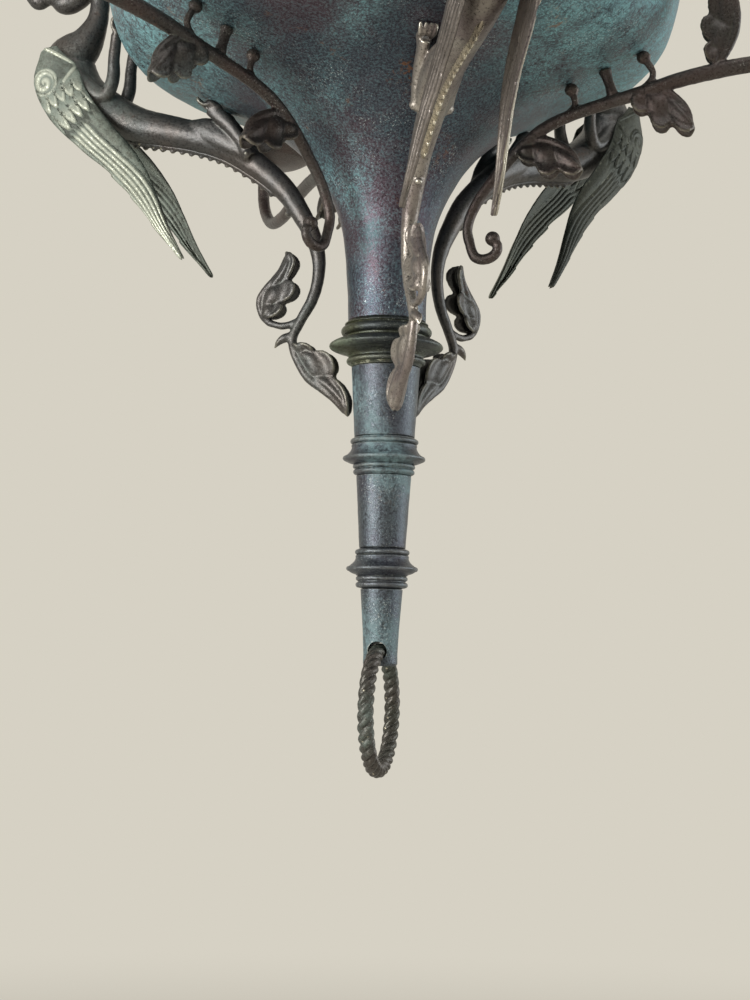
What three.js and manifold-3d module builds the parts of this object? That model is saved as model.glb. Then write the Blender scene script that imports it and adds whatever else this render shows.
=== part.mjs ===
// Bronze chandelier in the Gothic taste, as it comes apart on a bench.
// A hollow vase hangs on a tie rod above a turned stem with three knops and a rope-twist pull ring.
// Three winged dragons cling to the vase, and three leafy branches between them carry the candle cups.
// Millimetres, +Z up. The origin is the crown of the suspension eye, where the hook bears.
// Heights in this file are drawn from the foot of the stem, and the whole group is lowered at the end.
// "Outward" in a dragon or a branch is local +X, and both are drawn in the upright plane through the axis.
import * as THREE from 'three';
import { mergeVertices } from 'three/addons/utils/BufferGeometryUtils.js';
import Module from 'manifold-3d';

const wasm = await Module();
wasm.setup();

// Driving dimensions of the vase
const VASE_RADIUS = 150;
const VASE_WALL = 3.2;
const NECK_RADIUS = 20;
const BOWL_HEIGHT = 193;
const DOME_HEIGHT = 130;
const DOME_TOP_RADIUS = 34;
const LIP_HEIGHT = 6;

// Driving dimensions of the stem and what hangs from it
const TIP_LENGTH = 39;
const TIP_RADIUS = 8.7;
const KNOP_LOW_HEIGHT = 20.5;
const KNOP_LOW_RADIUS = 18.4;
const STEM_LOW_LENGTH = 37;
const STEM_LOW_RADIUS = 13;
const KNOP_HIGH_HEIGHT = 19.5;
const KNOP_HIGH_RADIUS = 21.3;
const STEM_HIGH_LENGTH = 36;
const STEM_HIGH_RADIUS = 16.6;
const COLLAR_HEIGHT = 23.5;
const COLLAR_RADIUS = 29.5;
const STEM_WALL = 3;
const ROD_RADIUS = 4;
const PULL_RING_RADIUS = 30.5;
const PULL_ROPE_RADIUS = 4.3;
const PULL_HOLE_CLEARANCE = 1.1;
const PULL_RING_AZIMUTH = -28;

// Driving dimensions of the suspension
const CROWN_HEIGHT = 26;
const TOP_STEM_LENGTH = 40;
const LOOP_BASE_HEIGHT = 18;
const EYE_RADIUS = 12.5;
const EYE_WIRE_RADIUS = 4.5;

// Driving dimensions of the branches
const ARM_REACH = 350;
const ARM_RISE = 58;
const ARM_RADIUS = 4.1;
const PAN_RADIUS = 38;
const CANDLE_RADIUS = 11;
const CUP_DEPTH = 22;
const CUP_WALL = 2.6;

// Driving dimensions of the dragons and the screws
const BODY_FULLNESS = 1;
const WING_THICKNESS = 2.8;
const WING_GAP = 0.5;
const SCREW_RADIUS = 1.8;
const SCREW_HEAD_RADIUS = 3.6;

// Clearances
const SEAT = 0.3;
const RUNNING = 0.4;

// Facet counts: the vase has a multiple of three, so it looks the same to all three dragons and branches
const VASE_SIDES = 24;
const STEM_SIDES = 12;
const SMALL_SIDES = 10;

const DRAGON_AZIMUTHS = [0, 120, 240];
const BRANCH_AZIMUTHS = [60, 180, 300];

// Heights of the stack, from the foot of the stem upwards
const TIP_BOTTOM = 0;
const KNOP_LOW_Z = TIP_BOTTOM + TIP_LENGTH + SEAT;
const STEM_LOW_Z = KNOP_LOW_Z + KNOP_LOW_HEIGHT + SEAT;
const KNOP_HIGH_Z = STEM_LOW_Z + STEM_LOW_LENGTH + SEAT;
const STEM_HIGH_Z = KNOP_HIGH_Z + KNOP_HIGH_HEIGHT + SEAT;
const COLLAR_Z = STEM_HIGH_Z + STEM_HIGH_LENGTH + SEAT;
const BOWL_Z = COLLAR_Z + COLLAR_HEIGHT + SEAT;
const RIM_Z = BOWL_Z + BOWL_HEIGHT;
const DOME_Z = RIM_Z + SEAT;
const CROWN_Z = DOME_Z + DOME_HEIGHT + SEAT;
const TOP_STEM_Z = CROWN_Z + CROWN_HEIGHT + SEAT;
const LOOP_Z = TOP_STEM_Z + TOP_STEM_LENGTH + SEAT;
const EYE_CENTRE_Z = LOOP_Z + LOOP_BASE_HEIGHT + EYE_RADIUS + EYE_WIRE_RADIUS;
const EYE_CROWN_Z = EYE_CENTRE_Z + EYE_RADIUS;

// The outline of the vase and all that clings to it was drawn for these sizes, and moves with the real ones
const DRAWN_VASE_RADIUS = 150;
const DRAWN_NECK_RADIUS = 20;
const DRAWN_BOWL_Z = 177.7;
const DRAWN_BOWL_HEIGHT = 193;
const spread = (VASE_RADIUS - NECK_RADIUS) / (DRAWN_VASE_RADIUS - DRAWN_NECK_RADIUS);

function out(r) {
  if (r <= DRAWN_NECK_RADIUS) return r * NECK_RADIUS / DRAWN_NECK_RADIUS;
  if (r >= DRAWN_VASE_RADIUS) return r + VASE_RADIUS - DRAWN_VASE_RADIUS;
  return NECK_RADIUS + (r - DRAWN_NECK_RADIUS) * spread;
}

function up(z) {
  const above = z - DRAWN_BOWL_Z;
  if (above <= 0) return BOWL_Z + above;
  if (above >= DRAWN_BOWL_HEIGHT) return RIM_Z + above - DRAWN_BOWL_HEIGHT;
  return BOWL_Z + above * BOWL_HEIGHT / DRAWN_BOWL_HEIGHT;
}

const at = (r, z, side = 0) => new THREE.Vector3(out(r), side, up(z));

// Closed surfaces, turned so that their faces point outwards
function closedSurface(positions, triangles) {
  let volume = 0;
  const a = new THREE.Vector3();
  const b = new THREE.Vector3();
  const c = new THREE.Vector3();
  for (let i = 0; i < triangles.length; i += 3) {
    a.copy(positions[triangles[i]]);
    b.copy(positions[triangles[i + 1]]);
    c.copy(positions[triangles[i + 2]]);
    volume += a.dot(b.cross(c));
  }
  const order = volume < 0 ? triangles.slice().reverse() : triangles;
  const geometry = new THREE.BufferGeometry();
  geometry.setAttribute('position', new THREE.Float32BufferAttribute(positions.flatMap((p) => p.toArray()), 3));
  geometry.setIndex(order);
  return geometry;
}

// A skin over rings of points, closed at both ends by a fan
function skin(rings) {
  const sides = rings[0].length;
  const positions = rings.flat();
  const triangles = [];
  for (let i = 0; i + 1 < rings.length; i += 1) {
    for (let j = 0; j < sides; j += 1) {
      const k = (j + 1) % sides;
      const low = i * sides;
      const high = low + sides;
      triangles.push(low + j, high + j, high + k, low + j, high + k, low + k);
    }
  }
  for (const [ring, flip] of [[0, false], [rings.length - 1, true]]) {
    const centre = new THREE.Vector3();
    rings[ring].forEach((p) => centre.addScaledVector(p, 1 / sides));
    const hub = positions.push(centre) - 1;
    for (let j = 0; j < sides; j += 1) {
      const first = ring * sides + j;
      const second = ring * sides + (j + 1) % sides;
      triangles.push(hub, ...(flip ? [second, first] : [first, second]));
    }
  }
  return closedSurface(positions, triangles);
}

// A limb: round or oval sections along a curve, each control point with its own half-width across it.
// The half-depths are the half-widths times depth, unless they have a list of their own.
function limb(points, widths, { sides = 8, steps = 16, depth = 1, depths, across = new THREE.Vector3(0, 1, 0) } = {}) {
  const curve = new THREE.CatmullRomCurve3(points, false, 'centripetal');
  const sizes = new THREE.SplineCurve(widths.map((w, i) => new THREE.Vector2(w, depths ? depths[i] : w * depth)));
  const rings = [];
  for (let i = 0; i <= steps; i += 1) {
    const u = i / steps;
    const centre = curve.getPoint(u);
    const tangent = curve.getTangent(u);
    const side = across.clone().addScaledVector(tangent, -across.dot(tangent)).normalize();
    const top = new THREE.Vector3().crossVectors(tangent, side);
    const size = sizes.getPoint(u);
    const ring = [];
    for (let j = 0; j < sides; j += 1) {
      const angle = 2 * Math.PI * (j + 0.5) / sides;
      ring.push(centre.clone()
        .addScaledVector(side, size.x * Math.cos(angle))
        .addScaledVector(top, size.y * Math.sin(angle)));
    }
    rings.push(ring);
  }
  return skin(rings);
}

// A blade: a thin leaf or wing that is thickest along its rib and thin along its edges.
// face(tangent) is the way that it looks, span(u) the half-widths on both sides of the rib,
// and lift(u, v) the height of the surface above the rib, with v from -1 to 1 across it.
function blade({ points, face, span, lift = () => 0, thickness, steps = 10, lanes = 2 }) {
  const curve = new THREE.CatmullRomCurve3(points, false, 'centripetal');
  const upper = [];
  const lower = [];
  const positions = [];
  for (let i = 0; i <= steps; i += 1) {
    const u = i / steps;
    const rib = curve.getPoint(u);
    const tangent = curve.getTangent(u);
    const looking = face(tangent);
    const normal = looking.clone().addScaledVector(tangent, -looking.dot(tangent)).normalize();
    const side = new THREE.Vector3().crossVectors(normal, tangent);
    const [left, right] = span(u);
    upper.push([]);
    lower.push([]);
    for (let j = 0; j <= lanes; j += 1) {
      const v = 2 * j / lanes - 1;
      const p = rib.clone().addScaledVector(side, v * (v < 0 ? left : right)).addScaledVector(normal, lift(u, v));
      const border = i === 0 || i === steps || j === 0 || j === lanes;
      const half = border ? 0 : thickness / 2;
      upper[i].push(positions.push(p.clone().addScaledVector(normal, half)) - 1);
      lower[i].push(border ? upper[i][j] : positions.push(p.clone().addScaledVector(normal, -half)) - 1);
    }
  }
  const triangles = [];
  for (let i = 0; i < steps; i += 1) {
    for (let j = 0; j < lanes; j += 1) {
      const quads = [[upper, false], [lower, true]];
      for (const [grid, flip] of quads) {
        const a = grid[i][j];
        const b = grid[i + 1][j];
        const c = grid[i + 1][j + 1];
        const d = grid[i][j + 1];
        triangles.push(...(flip ? [a, c, b, a, d, c] : [a, b, c, a, c, d]));
      }
    }
  }
  return closedSurface(positions, triangles);
}

// Turned work: an outline of [radius, height] points, revolved about the upright axis
function turned(outline, sides = STEM_SIDES) {
  const profile = outline.map(([r, z]) => new THREE.Vector2(r, z));
  const geometry = new THREE.LatheGeometry(profile, sides);
  geometry.rotateX(Math.PI / 2);
  return geometry;
}

// Half-round moulding, from its lower edge round its belly to its upper edge
function roll(r, z, projection, halfHeight, steps = 3) {
  const points = [];
  for (let i = 0; i <= steps; i += 1) {
    const angle = Math.PI * (i / steps - 0.5);
    points.push([r + projection * Math.cos(angle), z + halfHeight * Math.sin(angle)]);
  }
  return points;
}

function merged(geometry) {
  const bare = geometry.clone();
  bare.deleteAttribute('normal');
  bare.deleteAttribute('uv');
  return mergeVertices(bare, 1e-4);
}

function toSolid(geometry) {
  const mesh = merged(geometry);
  const vertProperties = new Float32Array(mesh.attributes.position.array);
  return new wasm.Manifold(new wasm.Mesh({ numProp: 3, vertProperties, triVerts: new Uint32Array(mesh.index.array) }));
}

function fromSolid(solid) {
  const mesh = solid.getMesh();
  const geometry = new THREE.BufferGeometry();
  geometry.setAttribute('position', new THREE.Float32BufferAttribute(mesh.vertProperties, 3));
  geometry.setIndex(Array.from(mesh.triVerts));
  return geometry;
}

// Joins the first list into one body and takes the second list away from it
function joined(parts, cuts = []) {
  let solid = toSolid(parts[0]);
  for (const part of parts.slice(1)) solid = solid.add(toSolid(part));
  for (const cut of cuts) solid = solid.subtract(toSolid(cut));
  return fromSolid(solid);
}

// Metal finishes
const PATINA = { color: 0x3f4a4b, roughness: 0.5, metalness: 0.85 };
const VERDIGRIS = { color: 0x45605f, roughness: 0.6, metalness: 0.7 };
const BROWN = { color: 0x453a35, roughness: 0.45, metalness: 0.9 };
const GILT = { color: 0x6d6742, roughness: 0.45, metalness: 0.9 };
const STEEL = { color: 0x6a6a6a, roughness: 0.4, metalness: 1 };

const chandelier = new THREE.Group();
chandelier.position.z = -EYE_CROWN_Z;

function add(parent, name, geometry, finish) {
  const material = new THREE.MeshStandardMaterial({ ...finish, flatShading: true });
  const mesh = new THREE.Mesh(geometry, material);
  mesh.name = name;
  parent.add(mesh);
  return mesh;
}

// Groups turned to an azimuth: 0 faces the front, -Y, and positive angles go towards +X
function station(azimuth) {
  const group = new THREE.Group();
  group.rotation.z = THREE.MathUtils.degToRad(azimuth - 90);
  chandelier.add(group);
  return group;
}

// The outline of the bowl: a slim neck that flares into a round belly
const bowlCurve = new THREE.SplineCurve([
  [20, 177.7], [20.8, 196], [24.4, 226], [33, 247.5], [47, 267], [70, 285], [97, 298.5],
  [126, 309], [141, 322], [148, 341], [150, 358], [150, 370.7],
].map(([r, z]) => new THREE.Vector2(out(r), up(z))));
const BOWL_ROWS = 12;
const bowlOutline = bowlCurve.getPoints(BOWL_ROWS).map((p) => [p.x, p.y]);

// The dome mirrors the bowl more flatly and ends in a short neck
const domeWaist = DOME_TOP_RADIUS / 34;
const domeCurve = new THREE.SplineCurve([
  [VASE_RADIUS, 0], [VASE_RADIUS * 0.985, 0.16], [VASE_RADIUS * 0.9, 0.36], [VASE_RADIUS * 0.7, 0.56],
  [VASE_RADIUS * 0.44, 0.7], [41 * domeWaist, 0.82], [DOME_TOP_RADIUS, 1],
].map(([r, h]) => new THREE.Vector2(r, DOME_Z + h * DOME_HEIGHT)));
const DOME_ROWS = 7;
const domeOutline = domeCurve.getPoints(DOME_ROWS).map((p) => [p.x, p.y]);

// The same outline moved along its own normal: inwards for a wall, outwards for a clearance
function offset(outline, distance) {
  return outline.map(([r, z], i) => {
    const [r0, z0] = outline[Math.max(i - 1, 0)];
    const [r1, z1] = outline[Math.min(i + 1, outline.length - 1)];
    const length = Math.hypot(r1 - r0, z1 - z0);
    return [r + distance * (z1 - z0) / length, z - distance * (r1 - r0) / length];
  });
}

// Where the bowl lies at a given radius, with the direction that leaves its outside squarely
function bowlAt(radius) {
  for (let i = 0; i + 1 < bowlOutline.length; i += 1) {
    const [r0, z0] = bowlOutline[i];
    const [r1, z1] = bowlOutline[i + 1];
    if (radius >= r0 && radius < r1) {
      const share = (radius - r0) / (r1 - r0);
      const length = Math.hypot(r1 - r0, z1 - z0);
      const normal = new THREE.Vector3((z1 - z0) / length, 0, -(r1 - r0) / length);
      return { point: new THREE.Vector3(radius, 0, z0 + share * (z1 - z0)), normal };
    }
  }
  throw new Error(`no bowl at radius ${radius}`);
}

// Stack of turned pieces on the tie rod
const boreRadius = ROD_RADIUS + RUNNING;
const stemLowBore = STEM_LOW_RADIUS - STEM_WALL;
const stemHighBore = STEM_HIGH_RADIUS - STEM_WALL;
const SPIGOT_HEIGHT = 3;
const STEM_TAPER = 1.1;
const spigot = (hostBore) => hostBore - RUNNING;

const ROD_IN_TIP = 14;
const ROD_END_GAP = 1;
const LOOP_BASE_CAP = 6;
const rodBottom = TIP_BOTTOM + TIP_LENGTH - ROD_IN_TIP;
const rodTop = LOOP_Z + LOOP_BASE_HEIGHT - LOOP_BASE_CAP;

// A bore down the middle of a turned piece closes its outline
function bored(outline, bore, sides = STEM_SIDES) {
  const low = outline[0][1];
  const high = outline[outline.length - 1][1];
  return turned([[bore, low], ...outline, [bore, high], [bore, low]], sides);
}

function tieRod() {
  return turned([[0, rodBottom], [ROD_RADIUS, rodBottom], [ROD_RADIUS, rodTop], [0, rodTop]], SMALL_SIDES);
}

// The tip holds the end of the tie rod in a blind bore, and the cross hole that the pull ring hangs in
const PULL_HOLE_HEIGHT = 7.4;
const PULL_HOLE_Z = TIP_BOTTOM + PULL_HOLE_HEIGHT;
const ropeDip = TIP_RADIUS ** 2 / (2 * PULL_RING_RADIUS);
const pullHoleRadius = PULL_ROPE_RADIUS + ropeDip / 2 + PULL_HOLE_CLEARANCE;
const pullAngle = THREE.MathUtils.degToRad(PULL_RING_AZIMUTH - 90);

function stemTip() {
  const top = TIP_BOTTOM + TIP_LENGTH;
  const body = turned([
    [0, TIP_BOTTOM], [TIP_RADIUS - 0.8, TIP_BOTTOM], [TIP_RADIUS + 0.1, TIP_BOTTOM + 1.2], [TIP_RADIUS, TIP_BOTTOM + 6],
    [TIP_RADIUS + 0.6, TIP_BOTTOM + TIP_LENGTH * 0.48], [TIP_RADIUS + 2.1, top],
    [boreRadius, top], [boreRadius, rodBottom - ROD_END_GAP], [0, rodBottom - ROD_END_GAP],
  ]);
  const hole = new THREE.CylinderGeometry(pullHoleRadius, pullHoleRadius, 4 * TIP_RADIUS, 16);
  hole.rotateZ(Math.PI / 2);
  hole.rotateZ(pullAngle);
  hole.translate(0, 0, PULL_HOLE_Z);
  return joined([body], [hole]);
}

function lowKnop() {
  const z = KNOP_LOW_Z;
  const h = KNOP_LOW_HEIGHT;
  const r = KNOP_LOW_RADIUS;
  const neck = TIP_RADIUS + 1.6;
  return bored([
    [neck, z], ...roll(r - 6.9, z + h * 0.1, 1.6, h * 0.08), [r - 7.2, z + h * 0.25],
    ...roll(r - 3, z + h * 0.4, 3, h * 0.1), [r - 4.2, z + h * 0.62], [r - 5.8, z + h * 0.74],
    ...roll(r - 6.4, z + h * 0.85, 1.7, h * 0.08), [STEM_LOW_RADIUS - STEM_TAPER, z + h],
    [spigot(stemLowBore), z + h], [spigot(stemLowBore), z + h + SPIGOT_HEIGHT],
  ], boreRadius);
}

function lowStem() {
  const bottom = STEM_LOW_Z;
  const top = bottom + STEM_LOW_LENGTH;
  return bored([[STEM_LOW_RADIUS - STEM_TAPER, bottom], [STEM_LOW_RADIUS, (bottom + top) / 2],
    [STEM_LOW_RADIUS + STEM_TAPER, top]], stemLowBore);
}

function highKnop() {
  const z = KNOP_HIGH_Z;
  const h = KNOP_HIGH_HEIGHT;
  const r = KNOP_HIGH_RADIUS;
  return bored([
    [spigot(stemLowBore), z - SPIGOT_HEIGHT], [spigot(stemLowBore), z], [STEM_LOW_RADIUS + STEM_TAPER, z],
    ...roll(r - 7.2, z + h * 0.1, 1.7, h * 0.08), [r - 6.6, z + h * 0.26],
    ...roll(r - 2.6, z + h * 0.44, 2.6, h * 0.1), [r - 3.4, z + h * 0.62], [r - 5.4, z + h * 0.72],
    ...roll(r - 6, z + h * 0.86, 1.7, h * 0.08), [STEM_HIGH_RADIUS - STEM_TAPER, z + h],
    [spigot(stemHighBore), z + h], [spigot(stemHighBore), z + h + SPIGOT_HEIGHT],
  ], boreRadius);
}

function highStem() {
  const bottom = STEM_HIGH_Z;
  const top = bottom + STEM_HIGH_LENGTH;
  return bored([[STEM_HIGH_RADIUS - STEM_TAPER, bottom], [STEM_HIGH_RADIUS, (bottom + top) / 2],
    [STEM_HIGH_RADIUS + STEM_TAPER, top]], stemHighBore);
}

function neckCollar() {
  const z = COLLAR_Z;
  const h = COLLAR_HEIGHT;
  const r = COLLAR_RADIUS;
  const neckBore = NECK_RADIUS - VASE_WALL;
  return bored([
    [spigot(stemHighBore), z - SPIGOT_HEIGHT], [spigot(stemHighBore), z], [STEM_HIGH_RADIUS + STEM_TAPER, z],
    ...roll(r - 10, z + h * 0.14, 2.1, h * 0.09), [r - 9.6, z + h * 0.3],
    ...roll(r - 4.6, z + h * 0.44, 4.6, h * 0.11, 4), [r - 7.6, z + h * 0.62], [r - 8.4, z + h * 0.76],
    ...roll(r - 8.6, z + h * 0.88, 2, h * 0.08), [NECK_RADIUS, z + h],
    [spigot(neckBore), z + h], [spigot(neckBore), z + h + SPIGOT_HEIGHT],
  ], boreRadius);
}

add(chandelier, 'tie_rod', tieRod(), STEEL);
add(chandelier, 'stem_tip', stemTip(), PATINA);
add(chandelier, 'low_knop', lowKnop(), PATINA);
add(chandelier, 'low_stem', lowStem(), PATINA);
add(chandelier, 'middle_knop', highKnop(), PATINA);
add(chandelier, 'high_stem', highStem(), PATINA);
add(chandelier, 'neck_collar', neckCollar(), GILT);

// The pull ring is a twisted rope of three strands, cast as one closed ring
const ROPE_STRANDS = 3;
const ROPE_TURNS = 10;
const ROPE_STEPS = 36;
const ROPE_SIDES = 6;
const STRAND_RELIEF = 0.14;

function pullRing() {
  const positions = [];
  const triangles = [];
  const lay = PULL_ROPE_RADIUS / (1 + STRAND_RELIEF);
  for (let i = 0; i < ROPE_STEPS; i += 1) {
    const turn = 2 * Math.PI * i / ROPE_STEPS;
    for (let j = 0; j < ROPE_SIDES; j += 1) {
      const angle = 2 * Math.PI * (j / ROPE_SIDES + ROPE_TURNS * i / ROPE_STEPS / ROPE_STRANDS / 2);
      const relief = 1 + STRAND_RELIEF * Math.cos(ROPE_STRANDS * 2 * Math.PI * j / ROPE_SIDES);
      const radial = PULL_RING_RADIUS + lay * relief * Math.cos(angle);
      positions.push(new THREE.Vector3(radial * Math.sin(turn), lay * relief * Math.sin(angle), radial * Math.cos(turn)));
    }
  }
  const wrap = Math.round(ROPE_TURNS / ROPE_STRANDS / 2 * ROPE_SIDES);
  for (let i = 0; i < ROPE_STEPS; i += 1) {
    for (let j = 0; j < ROPE_SIDES; j += 1) {
      const last = i === ROPE_STEPS - 1;
      const shift = last ? wrap : 0;
      const here = i * ROPE_SIDES;
      const next = last ? 0 : here + ROPE_SIDES;
      const a = here + j;
      const b = here + (j + 1) % ROPE_SIDES;
      const c = next + (j + 1 + shift) % ROPE_SIDES;
      const d = next + (j + shift) % ROPE_SIDES;
      triangles.push(a, b, c, a, c, d);
    }
  }
  const geometry = closedSurface(positions, triangles);
  geometry.rotateZ(pullAngle);
  geometry.translate(0, 0, PULL_HOLE_Z + ropeDip / 2 - PULL_RING_RADIUS);
  return geometry;
}

add(chandelier, 'pull_ring', pullRing(), BROWN);

// Everything round the axis that a dragon or a branch must stay clear of, as one solid of revolution
const clearance = turned([
  [0, STEM_HIGH_Z], [STEM_HIGH_RADIUS + STEM_TAPER + SEAT, STEM_HIGH_Z], [STEM_HIGH_RADIUS + STEM_TAPER + SEAT, COLLAR_Z],
  [COLLAR_RADIUS + SEAT, COLLAR_Z + COLLAR_HEIGHT * 0.3], [COLLAR_RADIUS + SEAT, COLLAR_Z + COLLAR_HEIGHT * 0.58],
  [NECK_RADIUS + 2.5, BOWL_Z - 0.5], ...offset(bowlOutline, SEAT), ...offset(domeOutline, SEAT),
  [0, DOME_Z + DOME_HEIGHT],
], VASE_SIDES);
const keepOut = toSolid(clearance.rotateZ(Math.PI / 2));

const clearOfVase = (geometry) => fromSolid(toSolid(geometry).subtract(keepOut));

// Screws from inside the bowl, square to its wall, into whatever clings to its outside
const SCREW_HEAD_HEIGHT = 2.6;
const SCREW_LIFT = 1.3;
const DRILL_OVERRUN = 4;
const SCREW_SIDES = 5;
const fixings = [];

function fixing(radius, side, reach) {
  const { point, normal } = bowlAt(radius);
  const turn = new THREE.Matrix4().makeRotationZ(side / radius);
  const aim = new THREE.Quaternion().setFromUnitVectors(new THREE.Vector3(0, 0, -1), normal);
  const place = new THREE.Matrix4().makeRotationFromQuaternion(aim).setPosition(point);
  place.premultiply(turn);
  const inside = VASE_WALL + SCREW_LIFT;
  const screw = turned([
    [0, -reach], [SCREW_RADIUS, -reach], [SCREW_RADIUS, inside], [SCREW_HEAD_RADIUS, inside],
    [SCREW_HEAD_RADIUS * 0.7, inside + SCREW_HEAD_HEIGHT],
    [0, inside + SCREW_HEAD_HEIGHT],
  ], SCREW_SIDES).applyMatrix4(place);
  const drill = turned([
    [0, -reach - 1], [SCREW_RADIUS + RUNNING, -reach - 1],
    [SCREW_RADIUS + RUNNING, inside + DRILL_OVERRUN], [0, inside + DRILL_OVERRUN],
  ], SCREW_SIDES).applyMatrix4(place);
  return { screw, drill, point: point.applyMatrix4(turn), normal: normal.applyMatrix4(turn) };
}

// Dragons
const HIND_PAW_RADIUS = out(97);
const HIND_PAW_SIDE = 10;
const HIND_PAW_SIZE = 6.2;
const HIND_SOLE_GAP = 2.2;
const FORE_PAW_Z = 341;
const FORE_PAW_RADIUS = 148;
const FORE_PAW_SIDE = 12;
const FORE_PAW_SIZE = 5;
const FORE_SOLE_GAP = 3.2;
const PAW_SCREW_REACH = 4;
const BODY_SIDES = 6;
const BODY_STEPS = 24;
const hindFixings = [-1, 1].map((hand) => fixing(HIND_PAW_RADIUS, hand * HIND_PAW_SIDE, PAW_SCREW_REACH));

// A serpent's body from the back of the head, down the breast, under the bowl and into the tail beside the stem:
// radius, height, half-depth and, where the wings press it flat, half-width
function dragonTrunk() {
  const line = [
    [170, 379, 6.4], [167.5, 365, 5.4], [168.5, 352, 5.8], [174, 340.5, 9], [184.5, 328, 14.6, 12.2], [177, 311, 13.8, 13],
    [160, 299, 11.6], [142, 290.5, 9.9], [126, 286.5, 9], [108, 282, 8.3], [90, 275.5, 8], [73.5, 264.5, 6.9],
    [57.5, 250.5, 6], [48, 237, 5.2],
    [40.5, 223, 4.4], [37.5, 211, 3.6], [38, 200, 3.2], [41, 190, 3], [47, 179.5, 2.7], [51, 170.5, 2.5],
    [49.5, 162, 2.2], [45, 155, 1.6],
  ];
  const points = line.map(([r, z]) => at(r, z));
  const depths = line.map(([, , deep]) => deep * BODY_FULLNESS);
  const widths = line.map(([, , deep, wide = deep]) => wide * BODY_FULLNESS);
  return limb(points, widths, { sides: BODY_SIDES, steps: BODY_STEPS, depths });
}

// Head with its mouth open: skull and snout, lower jaw with a beard, two horns
function dragonHead() {
  const skull = limb([at(165, 377), at(174, 385), at(188, 384), at(202, 376), at(214, 370)],
    [6.5, 9, 8.6, 6, 3.2], { sides: 6, steps: 6, depth: 0.85 });
  const jaw = limb([at(172, 374), at(187, 364), at(196, 366.5), at(204, 365), at(212, 366)],
    [6, 6.5, 3.4, 4.4, 1.6], { sides: 5, steps: 5 });
  const horns = [-1, 1].map((hand) => limb([at(176, 389, hand * 4.5), at(168, 398, hand * 7), at(158, 404, hand * 8)],
    [2.8, 1.9, 0.6], { sides: 4, steps: 2 }));
  return [skull, jaw, ...horns];
}

// A paw is a flat casting with three toes, laid on the wall that it grips
const PAW_THICKNESS = 4;
const PAW_OUTLINE = [[-0.5, -0.6], [-1.1, 1.4], [-0.35, 1.2], [0, 1.9], [0.35, 1.2], [1.1, 1.4], [0.5, -0.6]];

function paw(centre, forward, outward, size) {
  const outline = new THREE.Shape(PAW_OUTLINE.map(([x, y]) => new THREE.Vector2(x * size, y * size)));
  const plate = new THREE.ExtrudeGeometry(outline, { depth: PAW_THICKNESS, bevelEnabled: false });
  plate.translate(0, 0, -PAW_THICKNESS / 2);
  const sideways = new THREE.Vector3().crossVectors(forward, outward);
  plate.applyMatrix4(new THREE.Matrix4().makeBasis(sideways, forward, outward).setPosition(centre));
  return plate;
}

// Each leg is a bent limb from the body to the sole of its paw
function leg(points, widths) {
  return limb(points, widths, { sides: 4, steps: 3, across: new THREE.Vector3(1, 0, 0) });
}

function hindLeg(hand, { point, normal }) {
  const sole = point.clone().addScaledVector(normal, HIND_SOLE_GAP);
  const upTheWall = new THREE.Vector3(-normal.z, 0, normal.x);
  return [
    leg([at(100, 285, hand * 5), at(77, 270, hand * 13), sole], [7.5, 4.6, 3.4]),
    paw(sole, upTheWall, normal, HIND_PAW_SIZE),
  ];
}

function foreLeg(hand) {
  const grip = at(FORE_PAW_RADIUS, FORE_PAW_Z, hand * FORE_PAW_SIDE);
  grip.x += FORE_SOLE_GAP;
  return [
    leg([at(179, 321, hand * 6), at(157, 304, hand * 10.4), at(152, 326, hand * 11.5), grip], [7, 3.8, 3.4, 3]),
    paw(grip, new THREE.Vector3(0, 0, 1), new THREE.Vector3(1, 0, 0), FORE_PAW_SIZE),
  ];
}

// A folded leaf: its rib is the outer curve, and two halves with three lobes each stand up from it in a V.
// The profile is how far a half reaches from the rib, as a share of the leaf's height, along the rib.
// turn is 1 where the halves lie to the left of the rib's travel with outward to the right, and -1 otherwise.
const LEAF_THICKNESS = 3.2;
const LEAF_FOLD = THREE.MathUtils.degToRad(20);
const LEAF_PROFILE = new THREE.SplineCurve([
  [0, 0.1], [0.18, 0.65], [0.32, 0.56], [0.48, 1], [0.66, 0.52], [0.8, 0.48], [1, 0.03],
].map(([u, reach]) => new THREE.Vector2(u, reach)));

function foldedLeaf(points, height, turn) {
  const reach = (u) => height * LEAF_PROFILE.getPoint(u).y;
  return blade({
    points,
    face: (tangent) => new THREE.Vector3(-tangent.z, 0, tangent.x).multiplyScalar(turn),
    span: (u) => [reach(u) * Math.sin(LEAF_FOLD), reach(u) * Math.sin(LEAF_FOLD)],
    lift: (u, v) => Math.abs(v) * reach(u) * Math.cos(LEAF_FOLD),
    thickness: LEAF_THICKNESS,
    steps: 10,
  });
}

// The tail ends in a leaf that curls up and outwards, one that hangs down to the stem, and a spur between them
const TAIL_LEAF_HEIGHT = 15.5;

function tailLeaves() {
  const curled = foldedLeaf([at(57, 177.5), at(64, 180.5), at(68, 186), at(68.5, 191.5), at(64.5, 197.5), at(58.5, 204.5),
    at(55.5, 211), at(55.5, 216.5)], TAIL_LEAF_HEIGHT, 1);
  const stalk = limb([at(47, 180), at(52, 178), at(58, 177.6), at(64, 180.5)], [1.8, 1.8, 1.7, 1.2], { sides: 4, steps: 4 });
  const hanging = foldedLeaf([at(50.5, 166), at(46.5, 157), at(41, 150), at(34, 145), at(26.5, 138.5), at(21.5, 129.5)],
    TAIL_LEAF_HEIGHT, -1);
  const spur = limb([at(52, 171), at(56.5, 170), at(60.5, 165.5)], [2, 2.4, 0.4], { sides: 4, steps: 2 });
  return [curled, stalk, hanging, spur];
}

// A wing is plugged into the shoulder by a round tenon
const SHOULDER = [184, 318];
const SHOULDER_SIDE = 14.6;
const TENON_RADIUS = 4.5;
const TENON_DEPTH = 6;
const TENON_SIDES = 6;
const WING_FEATHERS = 2;

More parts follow.
